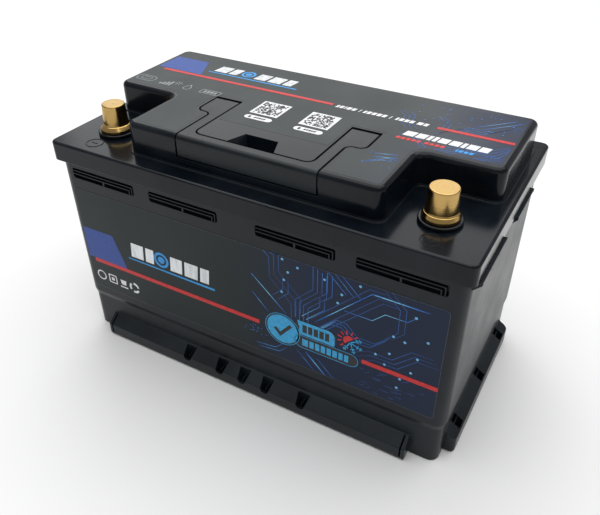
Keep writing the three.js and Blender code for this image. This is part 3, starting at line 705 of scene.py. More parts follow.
def vent(side, centre):
    """The tool for one vent: a deep pocket less two thin ribs that turn down at one end."""
    wall = side * WALL_Y
    floor, mouth = wall - side * VENT_DEPTH, wall + side
    outline = rounded_rect(VENT_HALF, VENT_HALF_HEIGHT, 1.5, (0, 0), 3)
    pocket = skin([[(centre + x, y, VENT_Z + z) for x, z in outline] for y in (floor, mouth)])
    behind, face = floor - side * 0.5, wall - side * 0.12
    end = -side  # the end where the ribs turn down, seen the same from both sides
    ribs = []
    for level, reach in ((1.35, VENT_HALF - 1.5), (-1.15, VENT_HALF - 3.8)):
        tip = centre + end * reach
        start = centre - end * (VENT_HALF + 1)
        top = VENT_Z + level + 0.8
        ribs.append(box(start, tip, behind, face, top - 0.8, top))
        ribs.append(box(tip - end * 0.8, tip, behind, face, VENT_Z - VENT_HALF_HEIGHT - 1, top))
    ribs.append(box(centre - 0.7, centre + 0.7, behind, face, VENT_Z - 5, VENT_Z - 0.8))
    return cut(pocket, *ribs)


def make_case_tub():
    foot = [(STEP_INSET + inset, drop) for inset, drop in reversed(rounding(1.2, 1.2, 3))]
    rise = [step / 4 for step in range(5)]
    step = [
        (STEP_INSET * (1 - t * t * (3 - 2 * t)), STEP_LOW + (STEP_HIGH - STEP_LOW) * t) for t in rise
    ]
    body = tower(
        lambda inset: rounded_rect(WALL_X - inset, WALL_Y - inset, CORNER - inset),
        [*foot, *step, (0, TUB_TOP)],
    )
    bulge = tower(
        lambda inset: rounded_rect(WALL_X + END_SWELL - inset, WALL_Y - 0.05 - inset, CORNER - inset),
        [*foot, *step, (0, RIM_BOTTOM - 0.8)],
    )
    join(body, bulge)
    ledges = [ledge(side) for ledge in (long_ledge, end_ledge) for side in (-1, 1)]
    lips = [carry_lip(side, *span) for side in (-1, 1) for span in ((-74, -24), (1, 42))]
    join(body, *ledges, *lips)
    hollow = prism(rounded_rect(WALL_X - WALL, WALL_Y - WALL, 5), WALL, TUB_TOP + 5)
    vents = [vent(side, centre) for side in (-1, 1) for centre in VENT_CENTRES]
    cut(body, hollow, *vents)
    return finish_piece(
        body, "case_shell", CASE, nodes=["case_tub"], edge=0.18
    )


# ---- Lid --------------------------------------------------------------------------------------


def raised_block(bottom):
    fillet = [(inset, BLOCK_TOP - drop) for inset, drop in rounding(BLOCK_FILLET, BLOCK_FILLET, 7)]
    fillet.append((BLOCK_FILLET + FLAT_START, BLOCK_TOP))
    return tower(block_outline, [(0, bottom), *fillet])


def handle_recess():
    lips = [(flare, BLOCK_TOP - drop) for flare, drop in ((0, 0.55), (0.16, 0.2), (0.55, -0.05))]
    trough = tower(
        lambda flare: handle_outline(0.8 + flare, 0.8 + flare, 2.5 + flare, TONGUE_FRONT - 5),
        [(0, 178.2), *lips, (0.55, BLOCK_TOP + 5)],
    )
    side = ARM_OUTER + 1.2
    bar = box(-side, side, TONGUE_FRONT - 5, BAR_INNER + 0.8, BAR_BOTTOM - 0.8, 179.2)
    pits = [
        box(end * (ARM_INNER - 0.8), end * (PAD_OUTER + 1.2), PAD_FRONT - 0.5, PAD_REAR + 2.5, 171.8, 179.2)
        for end in (-1, 1)
    ]
    return [trough, bar, *pits]


def finger_notch():
    lower = [(-9, -62), (9, -62), (9, -47.5), (-9, -47.5)]
    upper = [(-18.2, -62), (18.2, -62), (12, -45), (-12, -45)]
    return skin([[(x, y, 176.2) for x, y in lower], [(x, y, BLOCK_TOP + 0.01) for x, y in upper]])


def polarity_mark(side):
    """A fine raised ring with a bar, or a cross for the positive post."""
    x, y = side * 123.0, -69.8
    bottom, top = PLATE_TOP - 0.4, PLATE_TOP + 0.35
    marks = [ring(5.7, 6.2, bottom, top, x, y), box(x - 2.4, x + 2.4, y - 0.3, y + 0.3, bottom, top)]
    if side > 0:
        upright = box(x - 0.3, x + 0.3, y - 2.4, y + 2.4, bottom, top)
        marks[1] = join(marks[1], upright)
    return marks


def lid_hollows():
    """The space under the lid, left open for the cables and the clamped ends of the posts."""
    under, ceiling = PLATE_TOP - PLATE, BLOCK_TOP - SHELL
    back, wide, tongue = BLOCK_BACK - SHELL, BLOCK_X - SHELL, TONGUE_X - SHELL
    pad_wall = PAD_OUTER + 1.2 + SHELL
    behind = PAD_REAR + 2.5 + SHELL
    island = ARM_INNER - 0.8 - SHELL
    low = under - 1
    middle = (0, (back + behind) / 2)
    rooms = [
        prism(rounded_rect(wide, (back - behind) / 2, 4, middle, 3), low, ceiling),
        box(-island, island, -42, behind + 5, low, ceiling),
        box(2 - tongue, tongue - 2, TONGUE_FRONT + 4.5, PAD_FRONT - 4, low, 170.6),
    ]
    for side in (-1, 1):
        rooms.append(box(side * pad_wall, side * wide, BLOCK_FRONT + SHELL, behind + 5, low, ceiling))
        rooms.append(
            box(side * pad_wall, side * tongue, TONGUE_FRONT + 4.5, behind + 5, low, ceiling)
        )
        rooms.append(
            box(side * 55.2, side * (pad_wall + 1), TONGUE_FRONT + 4.5, PAD_FRONT - 4, low, ceiling)
        )
    return rooms


def make_lid():
    low_edge = [(inset, RIM_BOTTOM + drop) for inset, drop in reversed(rounding(0.7, 0.7, 3))]
    high_edge = [(inset, PLATE_TOP - drop) for inset, drop in rounding(1.9, 1.6, 5)]
    high_edge.append((1.9 + FLAT_START, PLATE_TOP))
    body = tower(
        lambda inset: rounded_rect(RIM_X - inset, RIM_Y - inset, RIM_CORNER - inset),
        [*low_edge, *high_edge],
    )
    step = [(-2.0 + inset, PLATE_TOP + 0.75 - drop) for inset, drop in rounding(0.5, 0.5, 3)]
    plinth = tower(block_outline, [(-2.0, 166), *step])
    marks = [mark for side in (-1, 1) for mark in polarity_mark(side)]
    join(body, plinth, raised_block(166.5), *marks)
    mouth = prism(rounded_rect(WALL_X + 0.7, WALL_Y + 0.7, CORNER + 0.3), RIM_BOTTOM - 2, PLATE_TOP - PLATE)
    cut(body, mouth, *lid_hollows(), *handle_recess(), finger_notch())
    post_holes = [prism(circle(side * POST_X, POST_Y, 6.4), 160, 172) for side in (-1, 1)]
    pin_holes = [rod_x(PIN_HOLE, side * 37, side * 70, PIVOT_Y, PIVOT_Z) for side in (-1, 1)]
    cut(body, *post_holes, *pin_holes)
    return finish_piece(body, "lid_shell", LID, nodes=["lid"], edge=0.15)


# ---- Handle -----------------------------------------------------------------------------------


def make_handle():
    body = prism(handle_outline(0, 0, 0, TONGUE_FRONT - 3), HANDLE_BOTTOM, BLOCK_TOP + 2)
    grip = box(-ARM_OUTER, ARM_OUTER, TONGUE_FRONT - 3, BAR_INNER, BAR_BOTTOM, HANDLE_BOTTOM + 1)
    join(body, grip)
    overlap(body, raised_block(166.5))
    soften(body, 0.55)
    ribs = 8
    pitch = (2 * ARM_OUTER - 3) / ribs
    starts = [-ARM_OUTER + 3 + index * pitch for index in range(ribs)]
    cores = [
        box(x, x + pitch - 3, TONGUE_FRONT + 2.2, BAR_INNER - 1.8, BAR_BOTTOM - 1, BLOCK_TOP - 3.4)
        for x in starts
    ]
    pin_holes = [rod_x(PIN_HOLE, side * 42, side * 65, PIVOT_Y, PIVOT_Z) for side in (-1, 1)]
    cut(body, *cores, *pin_holes)
    return finish_piece(
        body, "handle_shell", HANDLE, "handle", ["carry_handle"], edge=0.15
    )


# ---- Terminals --------------------------------------------------------------------------------


def make_post(side, name, node):
    """Stud, neck, flange and the standard taper, with a concave foot and softened corners."""
    low, high = node_box(node)
    flange_top = 175.0
    flange = 11.4
    under = collar_high.z - 0.9
    top_radius = {1: 17.5, -1: 15.9}[side] / 2
    foot_radius = top_radius + (high.z - flange_top) / 18
    sweep = [
        (foot_radius + 0.9 * (1 - math.sin(a)), flange_top - 0.1 + 1.2 * (1 - math.cos(a)))
        for a in (math.radians(15 * step) for step in range(7))
    ]
    crown = [
        (top_radius + 0.05 - inset, high.z - drop) for inset, drop in rounding(0.75, 0.75, 4)
    ]
    profile = [
        (0, low.z),
        (3.4, low.z),
        (4, low.z + 0.6),
        (4, 165.4),
        (6, 165.4),
        (6, under),
        (flange - 0.25, under),
        (flange, under + 0.25),
        (flange, flange_top - 2.5),
        (flange - 0.2, flange_top - 2.25),
        *sweep,
        *crown,
        (2.4, high.z),
        (0.4, high.z - 0.12),
        (0, high.z - 0.12),
    ]
    post = turned(profile, side * POST_X, POST_Y)
    return finish_piece(post, name, BRASS, nodes=[node])


def make_collar(side, name, node):
    """A closed ring: outer lip, level top, bore for the neck and a seat for the O-ring below."""
    low, high = collar_low.z, collar_high.z - 1.2
    profile = [(8.8, low), (13.1, low), (13.3, low + 0.2)]
    profile += [(13.3 - inset, high - drop) for inset, drop in rounding(0.9, 0.9, 4)]
    profile += [(6.7, high), (6.4, high - 0.3), (6.4, low + 2), (8.8, low + 2)]
    loops = [
        [(*point, z) for point in circle(side * POST_X, POST_Y, radius, 96)] for radius, z in profile
    ]
    vertices = [point for loop in loops for point in loop]
    faces = []
    for level in range(len(loops)):
        start, end = level * 96, (level + 1) % len(loops) * 96
        for index in range(96):
            after = (index + 1) % 96
            faces.append((start + index, start + after, end + after, end + index))
    collar = from_faces(vertices, faces)
    return finish_piece(collar, name, COLLAR, nodes=[node])


# ---- Labels -----------------------------------------------------------------------------------


def make_front_label():
    half = (front_high.x - front_low.x) / 2
    middle = (front_high.z + front_low.z) / 2
    outline = rounded_rect(half, (front_high.z - front_low.z) / 2, 2.5)
    faces = (LABEL_FACE_Y, -WALL_Y + 0.1)
    film = skin([[(x, y, middle + z) for x, z in outline] for y in faces])
    return finish_piece(
        film, "front_label_sheet", FRONT_FILM, nodes=["front_label"], edge=0.06
    )


def make_top_label():
    """Film over the block's top, cut back round the handle recess and the finger notch."""
    film = tower(block_outline, [(4.6, BLOCK_TOP - 0.2), (4.6, LABEL_FACE_Z)])
    trough = prism(handle_outline(2.6, 2.4, 4.4, TONGUE_FRONT - 5), 185, 195)
    nose = box(-ARM_INNER, ARM_INNER, TONGUE_FRONT - 5, -34.5, 185, 195)
    cut(film, trough, nose)
    return finish_piece(
        film, "top_label_sheet", TOP_FILM, nodes=["top_label"], edge=0.06
    )


class Press:
    """Prints one ink on a flat face: u runs to the right, v up the label, both in millimetres."""

    def __init__(self, face, layer=0):
        self.face = face
        self.low = layer * INK - 0.02
        self.high = (layer + 1) * INK
        self.vertices, self.faces, self.glow = [], [], []

    def place(self, u, v, lift):
        if self.face == "front":
            return (u, LABEL_FACE_Y - lift, v)
        return (u, v, LABEL_FACE_Z + lift)

    def area(self, outline, glow=0.0):
        """Closed flat shape; glow is one number or one for each point."""
        start, count = len(self.vertices), len(outline)
        for lift in (self.low, self.high):
            self.vertices += [self.place(u, v, lift) for u, v in outline]
            self.glow += glow if isinstance(glow, list) else [glow] * count
        under = list(range(start, start + count))
        over = [index + count for index in under]
        turn = 1 if self.face == "top" else -1
        self.faces += [tuple(under[::-turn]), tuple(over[::turn])]
        for index in range(count):
            after = (index + 1) % count
            side = (under[index], under[after], over[after], over[index])
            self.faces.append(side[::turn])

    def stroke(self, points, width, glow=(0.2, 0.2)):
        """A line of even width with mitred bends; glow runs from its start over its middle to its end."""
        path = [Vector(points[0])]
        for first, second in zip(points, points[1:]):
            steps = max(1, round((Vector(second) - Vector(first)).length / 9))
            path += [Vector(first).lerp(Vector(second), (k + 1) / steps) for k in range(steps)]
        left, right = [], []
        for index, point in enumerate(path):
            before = path[max(index - 1, 0)]
            after = path[min(index + 1, len(path) - 1)]
            arriving = (point - before).normalized() if index else (after - point).normalized()
            leaving = (after - point).normalized() if index < len(path) - 1 else arriving
            along = (arriving + leaving).normalized()
            reach = width / 2 / max(along.dot(leaving), 0.35)
            across = Vector((-along.y, along.x)) * reach
            left.append(point + across)
            right.append(point - across)
        last = len(path) - 1
        for index in range(last):
            quad = [right[index], right[index + 1], left[index + 1], left[index]]
            ends = [self.glow_at(glow, step / last) for step in (index, index + 1)]
            self.area([tuple(p) for p in quad], [ends[0], ends[1], ends[1], ends[0]])

    @staticmethod
    def glow_at(glow, share):
        spots = (share - 0.0) * (len(glow) - 1)
        index = min(int(spots), len(glow) - 2)
        return glow[index] + (glow[index + 1] - glow[index]) * (spots - index)

    def dot(self, u, v, radius, glow=0.0):
        self.area(circle(u, v, radius, 24), glow)

    def hoop(self, outer, inner):
        """The band between two outlines with the same number of points."""
        count = len(outer)
        for index in range(count):
            after = (index + 1) % count
            self.area([outer[index], outer[after], inner[after], inner[index]])

    def finish(self, name, material):
        mesh = bpy.data.meshes.new(name)
        mesh.from_pydata([tuple(co) for co in self.vertices], [], self.faces)
        glow = mesh.attributes.new("glow", "FLOAT", "POINT")
        glow.data.foreach_set("value", self.glow)
        mesh.transform(Matrix.Scale(MM, 4))
        return hand_over(new_object(name, mesh), name, material)


def slanted_bar(u, v, width, height, lean=0.22):
    return [(u, v), (u + width, v), (u + width + lean * height, v + height), (u + lean * height, v + height)]


def bar_row(press, u, v, widths, height, space, lean=0.22):
    """Bars of given widths in a row, as a stand-in for a printed line."""
    for width in widths:
        if width > 0:
            press.area(slanted_bar(u, v, width, height, lean))
        u += abs(width) + space


def print_front_traces(chance):
    """Own circuit pattern: bundles of 45 degree tracks that gather at the badge, with pads and glints."""
    traces = Press("front")
    pads = Press("front", 2)
    tracks = [
        ([(36, 86), (10, 110)], 1, (0, 0), 0.75, (0.1, 0.9, 0.5)),
        ([(22, 82), (10, 95)], 1, (0, 0), 0.6, (0.1, 0.7, 0.2)),
        ([(40, 84), (40, 96), (24, 112), (24, 128), (20, 132)], 3, (3.6, 3.4), 0.45, (0.3, 0.1, 0.4)),
        ([(43, 86), (43, 101), (56, 114), (56, 132)], 4, (3.2, -1.2), 0.5, (0.5, 0.15, 0.4)),
        ([(48, 89), (61, 102), (61, 110), (66, 115), (66, 131)], 2, (3.4, -1.5), 0.5, (0.9, 0.2, 0.5)),
        ([(55, 90), (94, 129), (104, 129)], 4, (3.0, -2.4), 0.5, (0.3, 0.2, 0.15)),
        ([(58, 88), (96, 126), (132, 126)], 1, (0, 0), 1.1, (0.1, 1.0, 0.3, 0.9, 0.1)),
        ([(61, 84), (73, 96), (80, 96), (88, 88), (100, 88), (110, 98)], 3, (-1.6, -2.4), 0.45, (0.8, 0.3, 0.2)),
        ([(78, 106), (97, 106), (105, 114), (119, 114), (124, 119)], 1, (0, 0), 0.55, (0.3, 0.9, 0.3)),
        ([(66, 132), (79, 119)], 3, (5.0, 0), 0.5, (0.2, 0.6, 0.3)),
        ([(84, 74), (96, 80), (112, 80), (124, 92), (138, 92)], 3, (2.0, -3.0), 0.4, (0.1, 0.35, 0.1)),
        ([(51, 58), (66, 43.2)], 1, (0, 0), 0.7, (0.3, 0.9, 0.4)),
        ([(44, 57), (57, 44)], 3, (7.6, -0.4), 0.5, (0.2, 0.6, 0.2)),
        ([(36, 55), (30, 49), (14, 47)], 2, (-3, 2.4), 0.6, (0.1, 0.8, 0.2)),
        ([(108, 132), (118, 122), (118, 104), (110, 96)], 2, (-4.0, -1.0), 0.4, (0.2, 0.35, 0.1)),
        ([(26, 98), (34, 106), (34, 116)], 2, (4, -2), 0.4, (0.2, 0.4, 0.2)),
    ]
    for points, copies, (du, dv), width, glow in tracks:
        for copy in range(copies):
            shifted = [(u + du * copy, min(v + dv * copy, 132.2)) for u, v in points]
            traces.stroke(shifted, TRACK * width, glow)
    ends = [(34, 130), (38, 121), (35, 114), (33, 103.5), (45, 127), (64, 125), (76, 118), (73.5, 110.5)]
    ends += [(88, 129), (124, 119.5), (111.5, 99.5), (119, 98), (101, 80), (110, 84.5), (107.5, 74)]
    ends += [(125, 75), (118.5, 66.3), (117, 58), (133, 104), (128, 88)]
    for u, v in ends:
        pads.dot(u, v, 0.95, 0.75)
    for row in range(20):
        u, v = chance.uniform(86, 134), 45 + 1.05 * row
        length = chance.uniform(2.5, 6.5)
        slope = chance.choice((0, 0, 0, 0.6))
        traces.stroke([(u, v), (u + length, v + slope * length)], 0.42, (0.1, chance.uniform(0.4, 0.9), 0.2))
    for _ in range(22):
        pads.dot(chance.uniform(0, 24), chance.uniform(58, 66), 0.35, 0.5)
    traces.finish("front_traces", TRACE_INK)
    pads.finish("front_pads", TRACE_INK)


def print_badge():
    """A plain badge where the label carries its claim: disc with a tick, and two bars of blank blocks."""
    cu, cv, radius = 33.0, 71.0, 12.0
    dark, cyan = Press("front", 2), Press("front", 3)
    top_dark, top_cyan = Press("front", 4), Press("front", 5)
    pill = rounded_rect(23.5, 5.4, 5.4, (66, 66.4))
    dark.area(circle(cu, cv, radius + 1.5, 64))
    dark.area(pill)
    dark.area(rounded_rect(15, 6.8, 5.0, (58.5, 78.2)))
    cyan.hoop(circle(cu, cv, radius + 1.6, 64), circle(cu, cv, radius + 1.15, 64))
    cyan.hoop(rounded_rect(23.7, 5.6, 5.6, (66, 66.4)), rounded_rect(23.3, 5.2, 5.2, (66, 66.4)))
    cyan.area(circle(cu, cv, radius, 64))
    cyan.area([(46.2, 72.8), (72.4, 72.8), (72.4, 79.5), *arc(67.4, 79.5, 5, 0, 90)[1:], (44.5, 84.5), (46.2, 79)])
    tick = [(27.0, 70.6), (31.2, 66.0), (39.6, 76.4)]
    top_dark.stroke(tick, 2.6)
    bar_row(top_dark, 48.6, 75.2, (3.2, 3.2, 3.2, 3.2, 3.0), 6.6, 1.0, 0)
    bar_row(top_cyan, 48.4, 63.4, (4.4, 3.2, 3.2, 3.2, 3.2, 3.4, 3.0, 3.0), 6.0, 1.1, 0)
    dark.finish("badge_ground", DARK_INK)
    cyan.finish("badge_cyan", CYAN_INK)
    top_dark.finish("badge_marks", DARK_INK)
    top_cyan.finish("badge_blocks", CYAN_INK)


def print_climate_sign():
    """Half a sun and half a snowflake: the plain sign for hot and cold."""
    red, cold = Press("front", 3), Press("front", 3)
    cu, cv = 82.5, 82.5
    red.area(arc(cu, cv, 4.2, 45, 225, 20))
    for step in range(7):
        angle = math.radians(45 + 30 * step)
        reach = (math.cos(angle), math.sin(angle))
        red.stroke([(cu + r * reach[0], cv + r * reach[1]) for r in (5.4, 8.4)], 0.95)
    for step in range(4):
        angle = math.radians(-120 + 50 * step)
        reach = Vector((math.cos(angle), math.sin(angle)))
        side = Vector((-reach.y, reach.x))
        hub = Vector((cu, cv)) + Vector((0.9, -0.9))
        cold.stroke([tuple(hub), tuple(hub + reach * 9)], 0.8)
        for distance, barb in ((4.4, 2.2), (6.8, 1.8)):
            for hand in (-1, 1):
                foot = hub + reach * distance
                cold.stroke([tuple(foot), tuple(foot + (reach + side * hand).normalized() * barb)], 0.65)
    red.finish("sun_sign", RED_INK)
    cold.finish("snow_sign", CYAN_INK)


def print_front():
    blue, red = Press("front"), Press("front", 1)
    blue.area([(-143.2, 71.4), (-104.2, 71.4), (-113.6, 98.6), (-143.2, 98.6)])
    red.area([(-137.2, 68.0), (14.4, 68.0), (14.4, 71.4), (-137.2, 71.4)])
    red.area([(92.0, 67.6), (143.3, 67.6), (143.3, 71.0), (92.0, 71.0)])
    blue.finish("front_blue_patch", BLUE_INK)
    red.finish("front_red_lines", RED_INK)
    silver, sky, white = Press("front", 1), Press("front", 1), Press("front", 1)
    bar_row(silver, -97, 86.2, (11.5, 7.5), 12.6, 2.2, 0.1)
    bar_row(silver, -60.5, 86.2, (10.5, 11.5, 7.5), 12.6, 2.2, 0.1)
    sky.hoop(circle(-68.2, 92.6, 6.6, 40), circle(-68.2, 92.6, 4.6, 40))
    sky.dot(-68.2, 92.6, 3.0)
    sky.area([(-100.4, 83.2), (-22, 82.2), (-22, 84.0), (-100.4, 84.2)])
    white.hoop(circle(-134, 55.2, 4.6, 32), circle(-134, 55.2, 3.5, 32))
    white.hoop(rounded_rect(4.2, 4.2, 1.0, (-122.4, 55.2), 3), rounded_rect(3.2, 3.2, 0.6, (-122.4, 55.2), 3))
    white.area(rounded_rect(1.5, 1.5, 0.4, (-122.4, 55.2), 3))
    white.area([(-114.5, 57.8), (-108.5, 57.8), (-109.3, 53.2), (-113.7, 53.2)])
    white.area([(-115.2, 50.3), (-107.8, 50.3), (-107.8, 51.5), (-115.2, 51.5)])
    for start in (10, 130, 250):
        outer, inner = arc(-100.6, 54.6, 5.0, start, start + 84, 8), arc(-100.6, 54.6, 3.0, start, start + 84, 8)
        white.area([*outer, *inner[::-1]])
    silver.finish("front_foil_bars", SILVER_INK)
    sky.finish("front_sky_marks", SKY_INK)
    white.finish("front_white_signs", WHITE_INK)
    print_front_traces(random.Random(7))
    print_badge()
    print_climate_sign()
    border = Press("front")
    half, tall = (front_high.x - front_low.x) / 2, (front_high.z - front_low.z) / 2
    middle = (0, (front_high.z + front_low.z) / 2)
    border.hoop(
        rounded_rect(half - 0.1, tall - 0.1, 2.4, middle), rounded_rect(half - 0.4, tall - 0.4, 2.1, middle)
    )
    border.finish("front_label_edge", EDGE_INK)


def print_dot_square(white, dark, u, v, size, chance):
    """A white square of scattered dark modules, with a pill below it. It encodes nothing."""
    cells = 17
    margin = 1.7
    white.area([(u, v), (u + size, v), (u + size, v + size), (u, v + size)])
    pitch = (size - 2 * margin) / cells
    for row in range(cells):
        start = None
        for column in range(cells + 1):
            on = column < cells and chance.random() < 0.52
            if on and start is None:
                start = column
            if not on and start is not None:
                left, right = u + margin + start * pitch, u + margin + column * pitch
                low = v + margin + row * pitch
                dark.area([(left, low), (right, low), (right, low + pitch), (left, low + pitch)])
                start = None
    white.area(rounded_rect(size / 2 - 0.3, 2.7, 2.7, (u + size / 2, v - 6.0), 6))
    dark.area(rounded_rect(0.9, 1.4, 0.4, (u + 4.2, v - 6.0), 2))
    bar_row(dark, u + 7.5, v - 6.9, (1.5, 1.2, 1.5, 1.1, 1.4), 1.8, 0.5)


def on_film(u, v):
    """The nearest point of the top label that keeps clear of its right and front edges."""
    u, v = min(u, 141), max(v, -44)
    if v < -9.2:
        return (u, -9.2) if u > 90 else (min(u, 87.5), v)
    return u, v


def print_top_traces(chance):
    traces, pads = Press("top"), Press("top", 2)
    tracks = [
        ([(74, 12), (66, 22), (66, 30), (58, 38)], 3, (3.2, 1.2), 0.4, (0.2, 0.5, 0.1)),
        ([(92, 12), (104, 26), (120, 26), (132, 40), (140, 40)], 3, (2.6, 3.0), 0.45, (0.2, 0.5, 0.2)),
        ([(100, -9), (112, 4), (128, 4), (140, 16)], 4, (3.0, -2.0), 0.45, (0.4, 0.5, 0.3)),
        ([(112, 34), (134, 56)], 2, (5.0, -1.5), 0.6, (0.1, 0.9, 0.3)),
        ([(92, -9), (80, 4), (72, 4)], 2, (3.0, 0.0), 0.5, (0.2, 0.6, 0.3)),
        ([(86, 40), (94, 32), (94, 24)], 2, (3.4, 0.6), 0.4, (0.4, 0.2, 0.4)),
        ([(124, -10), (134, 0), (141, 0)], 3, (2.2, -2.2), 0.4, (0.3, 0.4, 0.2)),
        ([(70, -30), (84, -26)], 2, (1.5, -4.0), 0.55, (0.3, 0.8, 0.3)),
        ([(68, -44), (78, -36), (86, -36)], 2, (2.0, 3.4), 0.5, (0.3, 0.7, 0.1)),
    ]
    for points, copies, (du, dv), width, glow in tracks:
        for copy in range(copies):
            shifted = [on_film(u + du * copy, v + dv * copy) for u, v in points]
            traces.stroke(shifted, TRACK * width, glow)
    for _ in range(24):
        pads.dot(chance.uniform(70, 138), chance.uniform(28, 56), 0.55, 0.5)
    for _ in range(10):
        pads.dot(chance.uniform(68, 86), chance.uniform(-44, -24), 0.4, 0.5)
    traces.finish("top_traces", TRACE_INK)
    pads.finish("top_pads", TRACE_INK)


def print_top_signs(white):
    """Four small outline signs: a pack in a ring, cell bars, a drop and a long pack."""
    u, v = -132.5, 1.5
    white.hoop(rounded_rect(8.6, 4.8, 4.6, (u, v), 6), rounded_rect(8.0, 4.2, 4.0, (u, v), 6))
    white.hoop(rounded_rect(4.6, 2.2, 0.5, (u, v), 2), rounded_rect(4.1, 1.7, 0.2, (u, v), 2))
    white.area([(u - 2.6, v + 2.2), (u - 1.4, v + 2.2), (u - 1.4, v + 3.0), (u - 2.6, v + 3.0)])
    for index, height in enumerate((3.0, 4.6, 6.2, 7.8)):
        start = -117.5 + index * 2.7
        white.area([(start, -3.4), (start + 1.7, -3.4), (start + 1.7, -3.4 + height), (start, -3.4 + height)])
    for turn in range(6):
        angle = math.radians(60 * turn)
        reach = (math.cos(angle), math.sin(angle))
        white.stroke([(-103.5 + r * reach[0], 3.6 + r * reach[1]) for r in (0.8, 3.2)], 0.5)
    drop = [(-93.0, 6.0), *arc(-93.0, -0.6, 3.2, 150, 390, 12)]
    inner = [(-93.0, 4.6), *arc(-93.0, -0.6, 2.6, 150, 390, 12)]
    white.hoop(drop, inner)
    white.hoop(rounded_rect(8.4, 3.4, 1.0, (-72.5, 0.2), 3), rounded_rect(7.8, 2.8, 0.5, (-72.5, 0.2), 3))
    bar_row(white, -78.0, -1.4, (2.0, 2.0, 2.0, 2.0), 3.2, 0.9, 0)


def print_top():
    blue, red, white = Press("top"), Press("top", 1), Press("top", 1)
    blue.area([(-141.0, 26.4), (-100.0, 26.4), (-110.6, 51.4), (-141.0, 51.4)])
    red.area([(-133.4, 22.2), (15.0, 22.2), (15.0, 25.4), (-133.4, 25.4)])
    red.area([(91.3, 20.6), (141.3, 20.6), (141.3, 23.8), (91.3, 23.8)])
    silver, sky, dark, grey = Press("top", 1), Press("top", 1), Press("top", 3), Press("top", 1)
    bar_row(silver, -96, 38.0, (11.0, 7.2), 11.2, 2.0, 0.12)
    bar_row(silver, -60.0, 38.0, (10.0, 11.0, 7.2), 11.2, 2.0, 0.12)
    sky.hoop(circle(-67.6, 43.8, 5.8, 40), circle(-67.6, 43.8, 4.0, 40))
    sky.dot(-67.6, 43.8, 2.6)
    sky.area([(-99.4, 34.6), (-21, 34.2), (-21, 35.8), (-99.4, 35.8)])
    bar_row(white, 18.0, 20.6, (1.8, 2.6, 1.0, 2.8, 2.8, -1.0, 0.7, -1.0), 4.2, 0.9)
    bar_row(white, 38.6, 20.6, (1.6, 2.8, 2.8, 2.8, 2.8, -1.0, 0.7, -1.0), 4.2, 0.9)
    bar_row(white, 62.0, 20.6, (1.6, 2.8, 2.8, 2.8, -0.6, 3.6, 2.8), 4.2, 0.9)
    bar_row(white, 75.0, 2.0, (7.2, 6.4, 2.6, 2.6, 6.4, 6.4, 2.6, 6.4, 6.2), 7.0, 1.0, 0.2)
    bar_row(red, 72.6, -4.2, (2.6, 2.6, 2.6, 2.6, 2.6, -1.0, 2.6, 2.6, 2.6, 2.6), 3.2, 0.8)
    bar_row(sky, 111.6, -4.8, (1.2, 2.4, 2.4, 2.4), 3.2, 0.8)
    print_dot_square(white, dark, -29.0, -15.2, 21.5, random.Random(11))
    print_dot_square(white, dark, 9.2, -15.6, 21.5, random.Random(23))
    print_top_signs(grey)
    blue.finish("top_blue_patch", BLUE_INK)
    red.finish("top_red_marks", RED_INK)
    white.finish("top_white_marks", WHITE_INK)
    silver.finish("top_foil_bars", SILVER_INK)
    sky.finish("top_sky_marks", SKY_INK)
    dark.finish("top_dark_modules", DARK_INK)
    grey.finish("top_outline_signs", GREY_INK)
    print_top_traces(random.Random(5))


# ---- Inner parts ------------------------------------------------------------------------------

INNER_FINISHES = {
    "steel": (plain_metal("zinc_steel", (0.6, 0.61, 0.62), 0.34), ("washer", "_nut", "pin", "screw")),
    "copper": (plain_metal("copper", (0.78, 0.4, 0.24), 0.32, (0.2, 1, 1)), ("busbar", "_tab", "_lug")),
    "aluminium": (plain_metal("aluminium", (0.62, 0.64, 0.66), 0.4, (1, 1, 0.15)), ("heat_sink",)),
    "cell_wrap": (film_wrap("blue_cell_wrap", (0.03, 0.14, 0.48)), ("cell_",)),
    "fibre_board": (
        woven("glass_fibre", (0.5, 0.45, 0.26), 0.5, 0.55),
        ("separator", "end_plate", "top_insulator"),
    ),
    "circuit_board": (
        moulded("solder_mask", (0.015, 0.12, 0.05), 0.3, wear=0),
        ("bms_board", "radio_module"),
    ),
    "rubber": (moulded("rubber", (0.02, 0.02, 0.02), 0.7, wear=0), ("o_ring",)),
    "sealant": (moulded("sealant", (0.025, 0.026, 0.03), 0.55, wear=0), ("lid_sealant",)),
    "foam": (cellular("foam", (0.09, 0.09, 0.1)), ("foam",)),
    "red_cable": (moulded("red_insulation", (0.5, 0.02, 0.015), 0.4, wear=0), ("positive_cable",)),
    "black_cable": (
        moulded("black_insulation", (0.015, 0.015, 0.016), 0.4, wear=0),
        ("bms_cable", "negative_cable", "sense_harness"),
    ),
    "strap": (woven("woven_strap", (0.05, 0.2, 0.08), 0.7, 0.7), ("pack_strap",)),
}


def finish_inner_parts():
    """Gives each carried-over CAD node the finish whose words its name holds."""
    for name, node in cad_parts.items():
        if node.hide_render:
            continue
        for material, words in INNER_FINISHES.values():
            if any(word in name for word in words):
                node.data.materials.clear()
                node.data.materials.append(material)
                break
        else:
            raise ValueError(f"no finish for {name}")


# ---- Stage ------------------------------------------------------------------------------------


def area_light(name, place, target, size, power, colour=(1, 1, 1)):
    light = bpy.data.lights.new(name, "AREA")
    light.shape = "RECTANGLE"
    light.size, light.size_y = size
    light.energy = power
    light.color = colour
    lamp = bpy.data.objects.new(name, light)
    bpy.context.scene.collection.objects.link(lamp)
    lamp.location = place
    lamp.rotation_mode = "QUATERNION"
    lamp.rotation_quaternion = (Vector(target) - Vector(place)).to_track_quat("-Z", "Y")
    return lamp


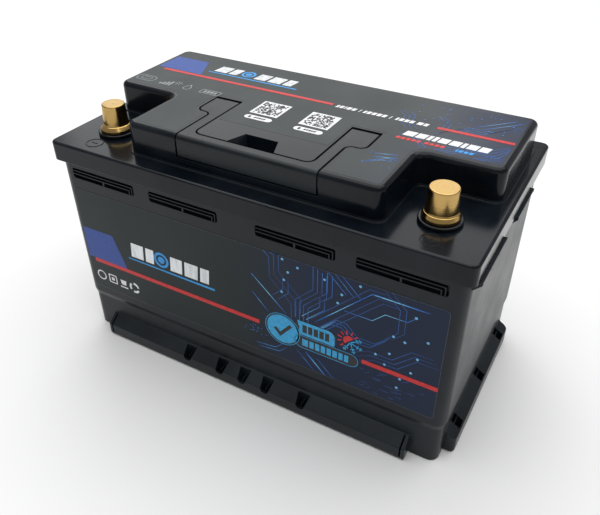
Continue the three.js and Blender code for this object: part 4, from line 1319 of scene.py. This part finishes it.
def make_floor():
    finish = Finish("floor", (0.87, 0.87, 0.87), 0.6, specular=0.2)
    shade = finish.noise(0.002, 2)
    finish.colour(finish.mix(shade, (0.86, 0.86, 0.86), (0.88, 0.88, 0.88)))
    finish.roughness(finish.remap(shade, 0.3, 0.7, 0.55, 0.65))
    finish.bumps((finish.noise(0.3, 2), 0.05, 0.05))
    reach = 6.0
    corners = [(-reach, -reach, 0), (reach, -reach, 0), (reach, reach, 0), (-reach, reach, 0)]
    floor = from_faces(corners, [(0, 1, 2, 3)], "floor")
    floor.data.materials.append(finish.material)
    floor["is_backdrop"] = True


def make_lights():
    """Soft studio: dim surroundings, a wide panel overhead, and one behind."""
    world = bpy.data.worlds.new("studio")
    world.use_nodes = True
    background = next(n for n in world.node_tree.nodes if n.type == "BACKGROUND")
    background.inputs["Color"].default_value = (1.0, 1.0, 1.0, 1)
    background.inputs["Strength"].default_value = 0.34
    bpy.context.scene.world = world
    area_light("overhead_panel", (0, 0.2, 2.2), (0, 0, 0), (3.2, 3.2), 62)
    area_light("rear_panel", (-0.85, 1.45, 1.42), (0, 0, 0.15), (1.8, 1.4), 10.5)
    bpy.context.scene.view_settings.view_transform = "Standard"


def make_camera():
    """The photograph's viewpoint: 30 degrees round from the front and 36 degrees above the horizon."""
    azimuth, elevation, roll = math.radians(29.586), math.radians(35.949), math.radians(-0.279)
    forward = Vector(
        (
            -math.sin(azimuth) * math.cos(elevation),
            math.cos(azimuth) * math.cos(elevation),
            -math.sin(elevation),
        )
    )
    data = bpy.data.cameras.new("camera")
    data.sensor_width = 36
    data.lens = 38.845
    data.clip_start = 0.01
    camera = bpy.data.objects.new("camera", data)
    bpy.context.scene.collection.objects.link(camera)
    camera.location = (0.20484, -0.35831, 0.36776)
    camera.rotation_mode = "QUATERNION"
    tilt = Quaternion((0, 0, 1), roll)
    camera.rotation_quaternion = forward.to_track_quat("-Z", "Y") @ tilt
    bpy.context.scene.camera = camera


make_camera()
make_case_tub()
make_lid()
make_handle()
make_post(1, "positive_terminal", "positive_post")
make_post(-1, "negative_terminal", "negative_post")
make_collar(1, "positive_post_collar", "positive_collar")
make_collar(-1, "negative_post_collar", "negative_collar")
make_front_label()
make_top_label()
print_front()
print_top()
finish_inner_parts()
make_floor()
make_lights()

boxes = {"cad": cad_box, "visual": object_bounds()}
{name: [list(corner) for corner in corners] for name, corners in boxes.items()}
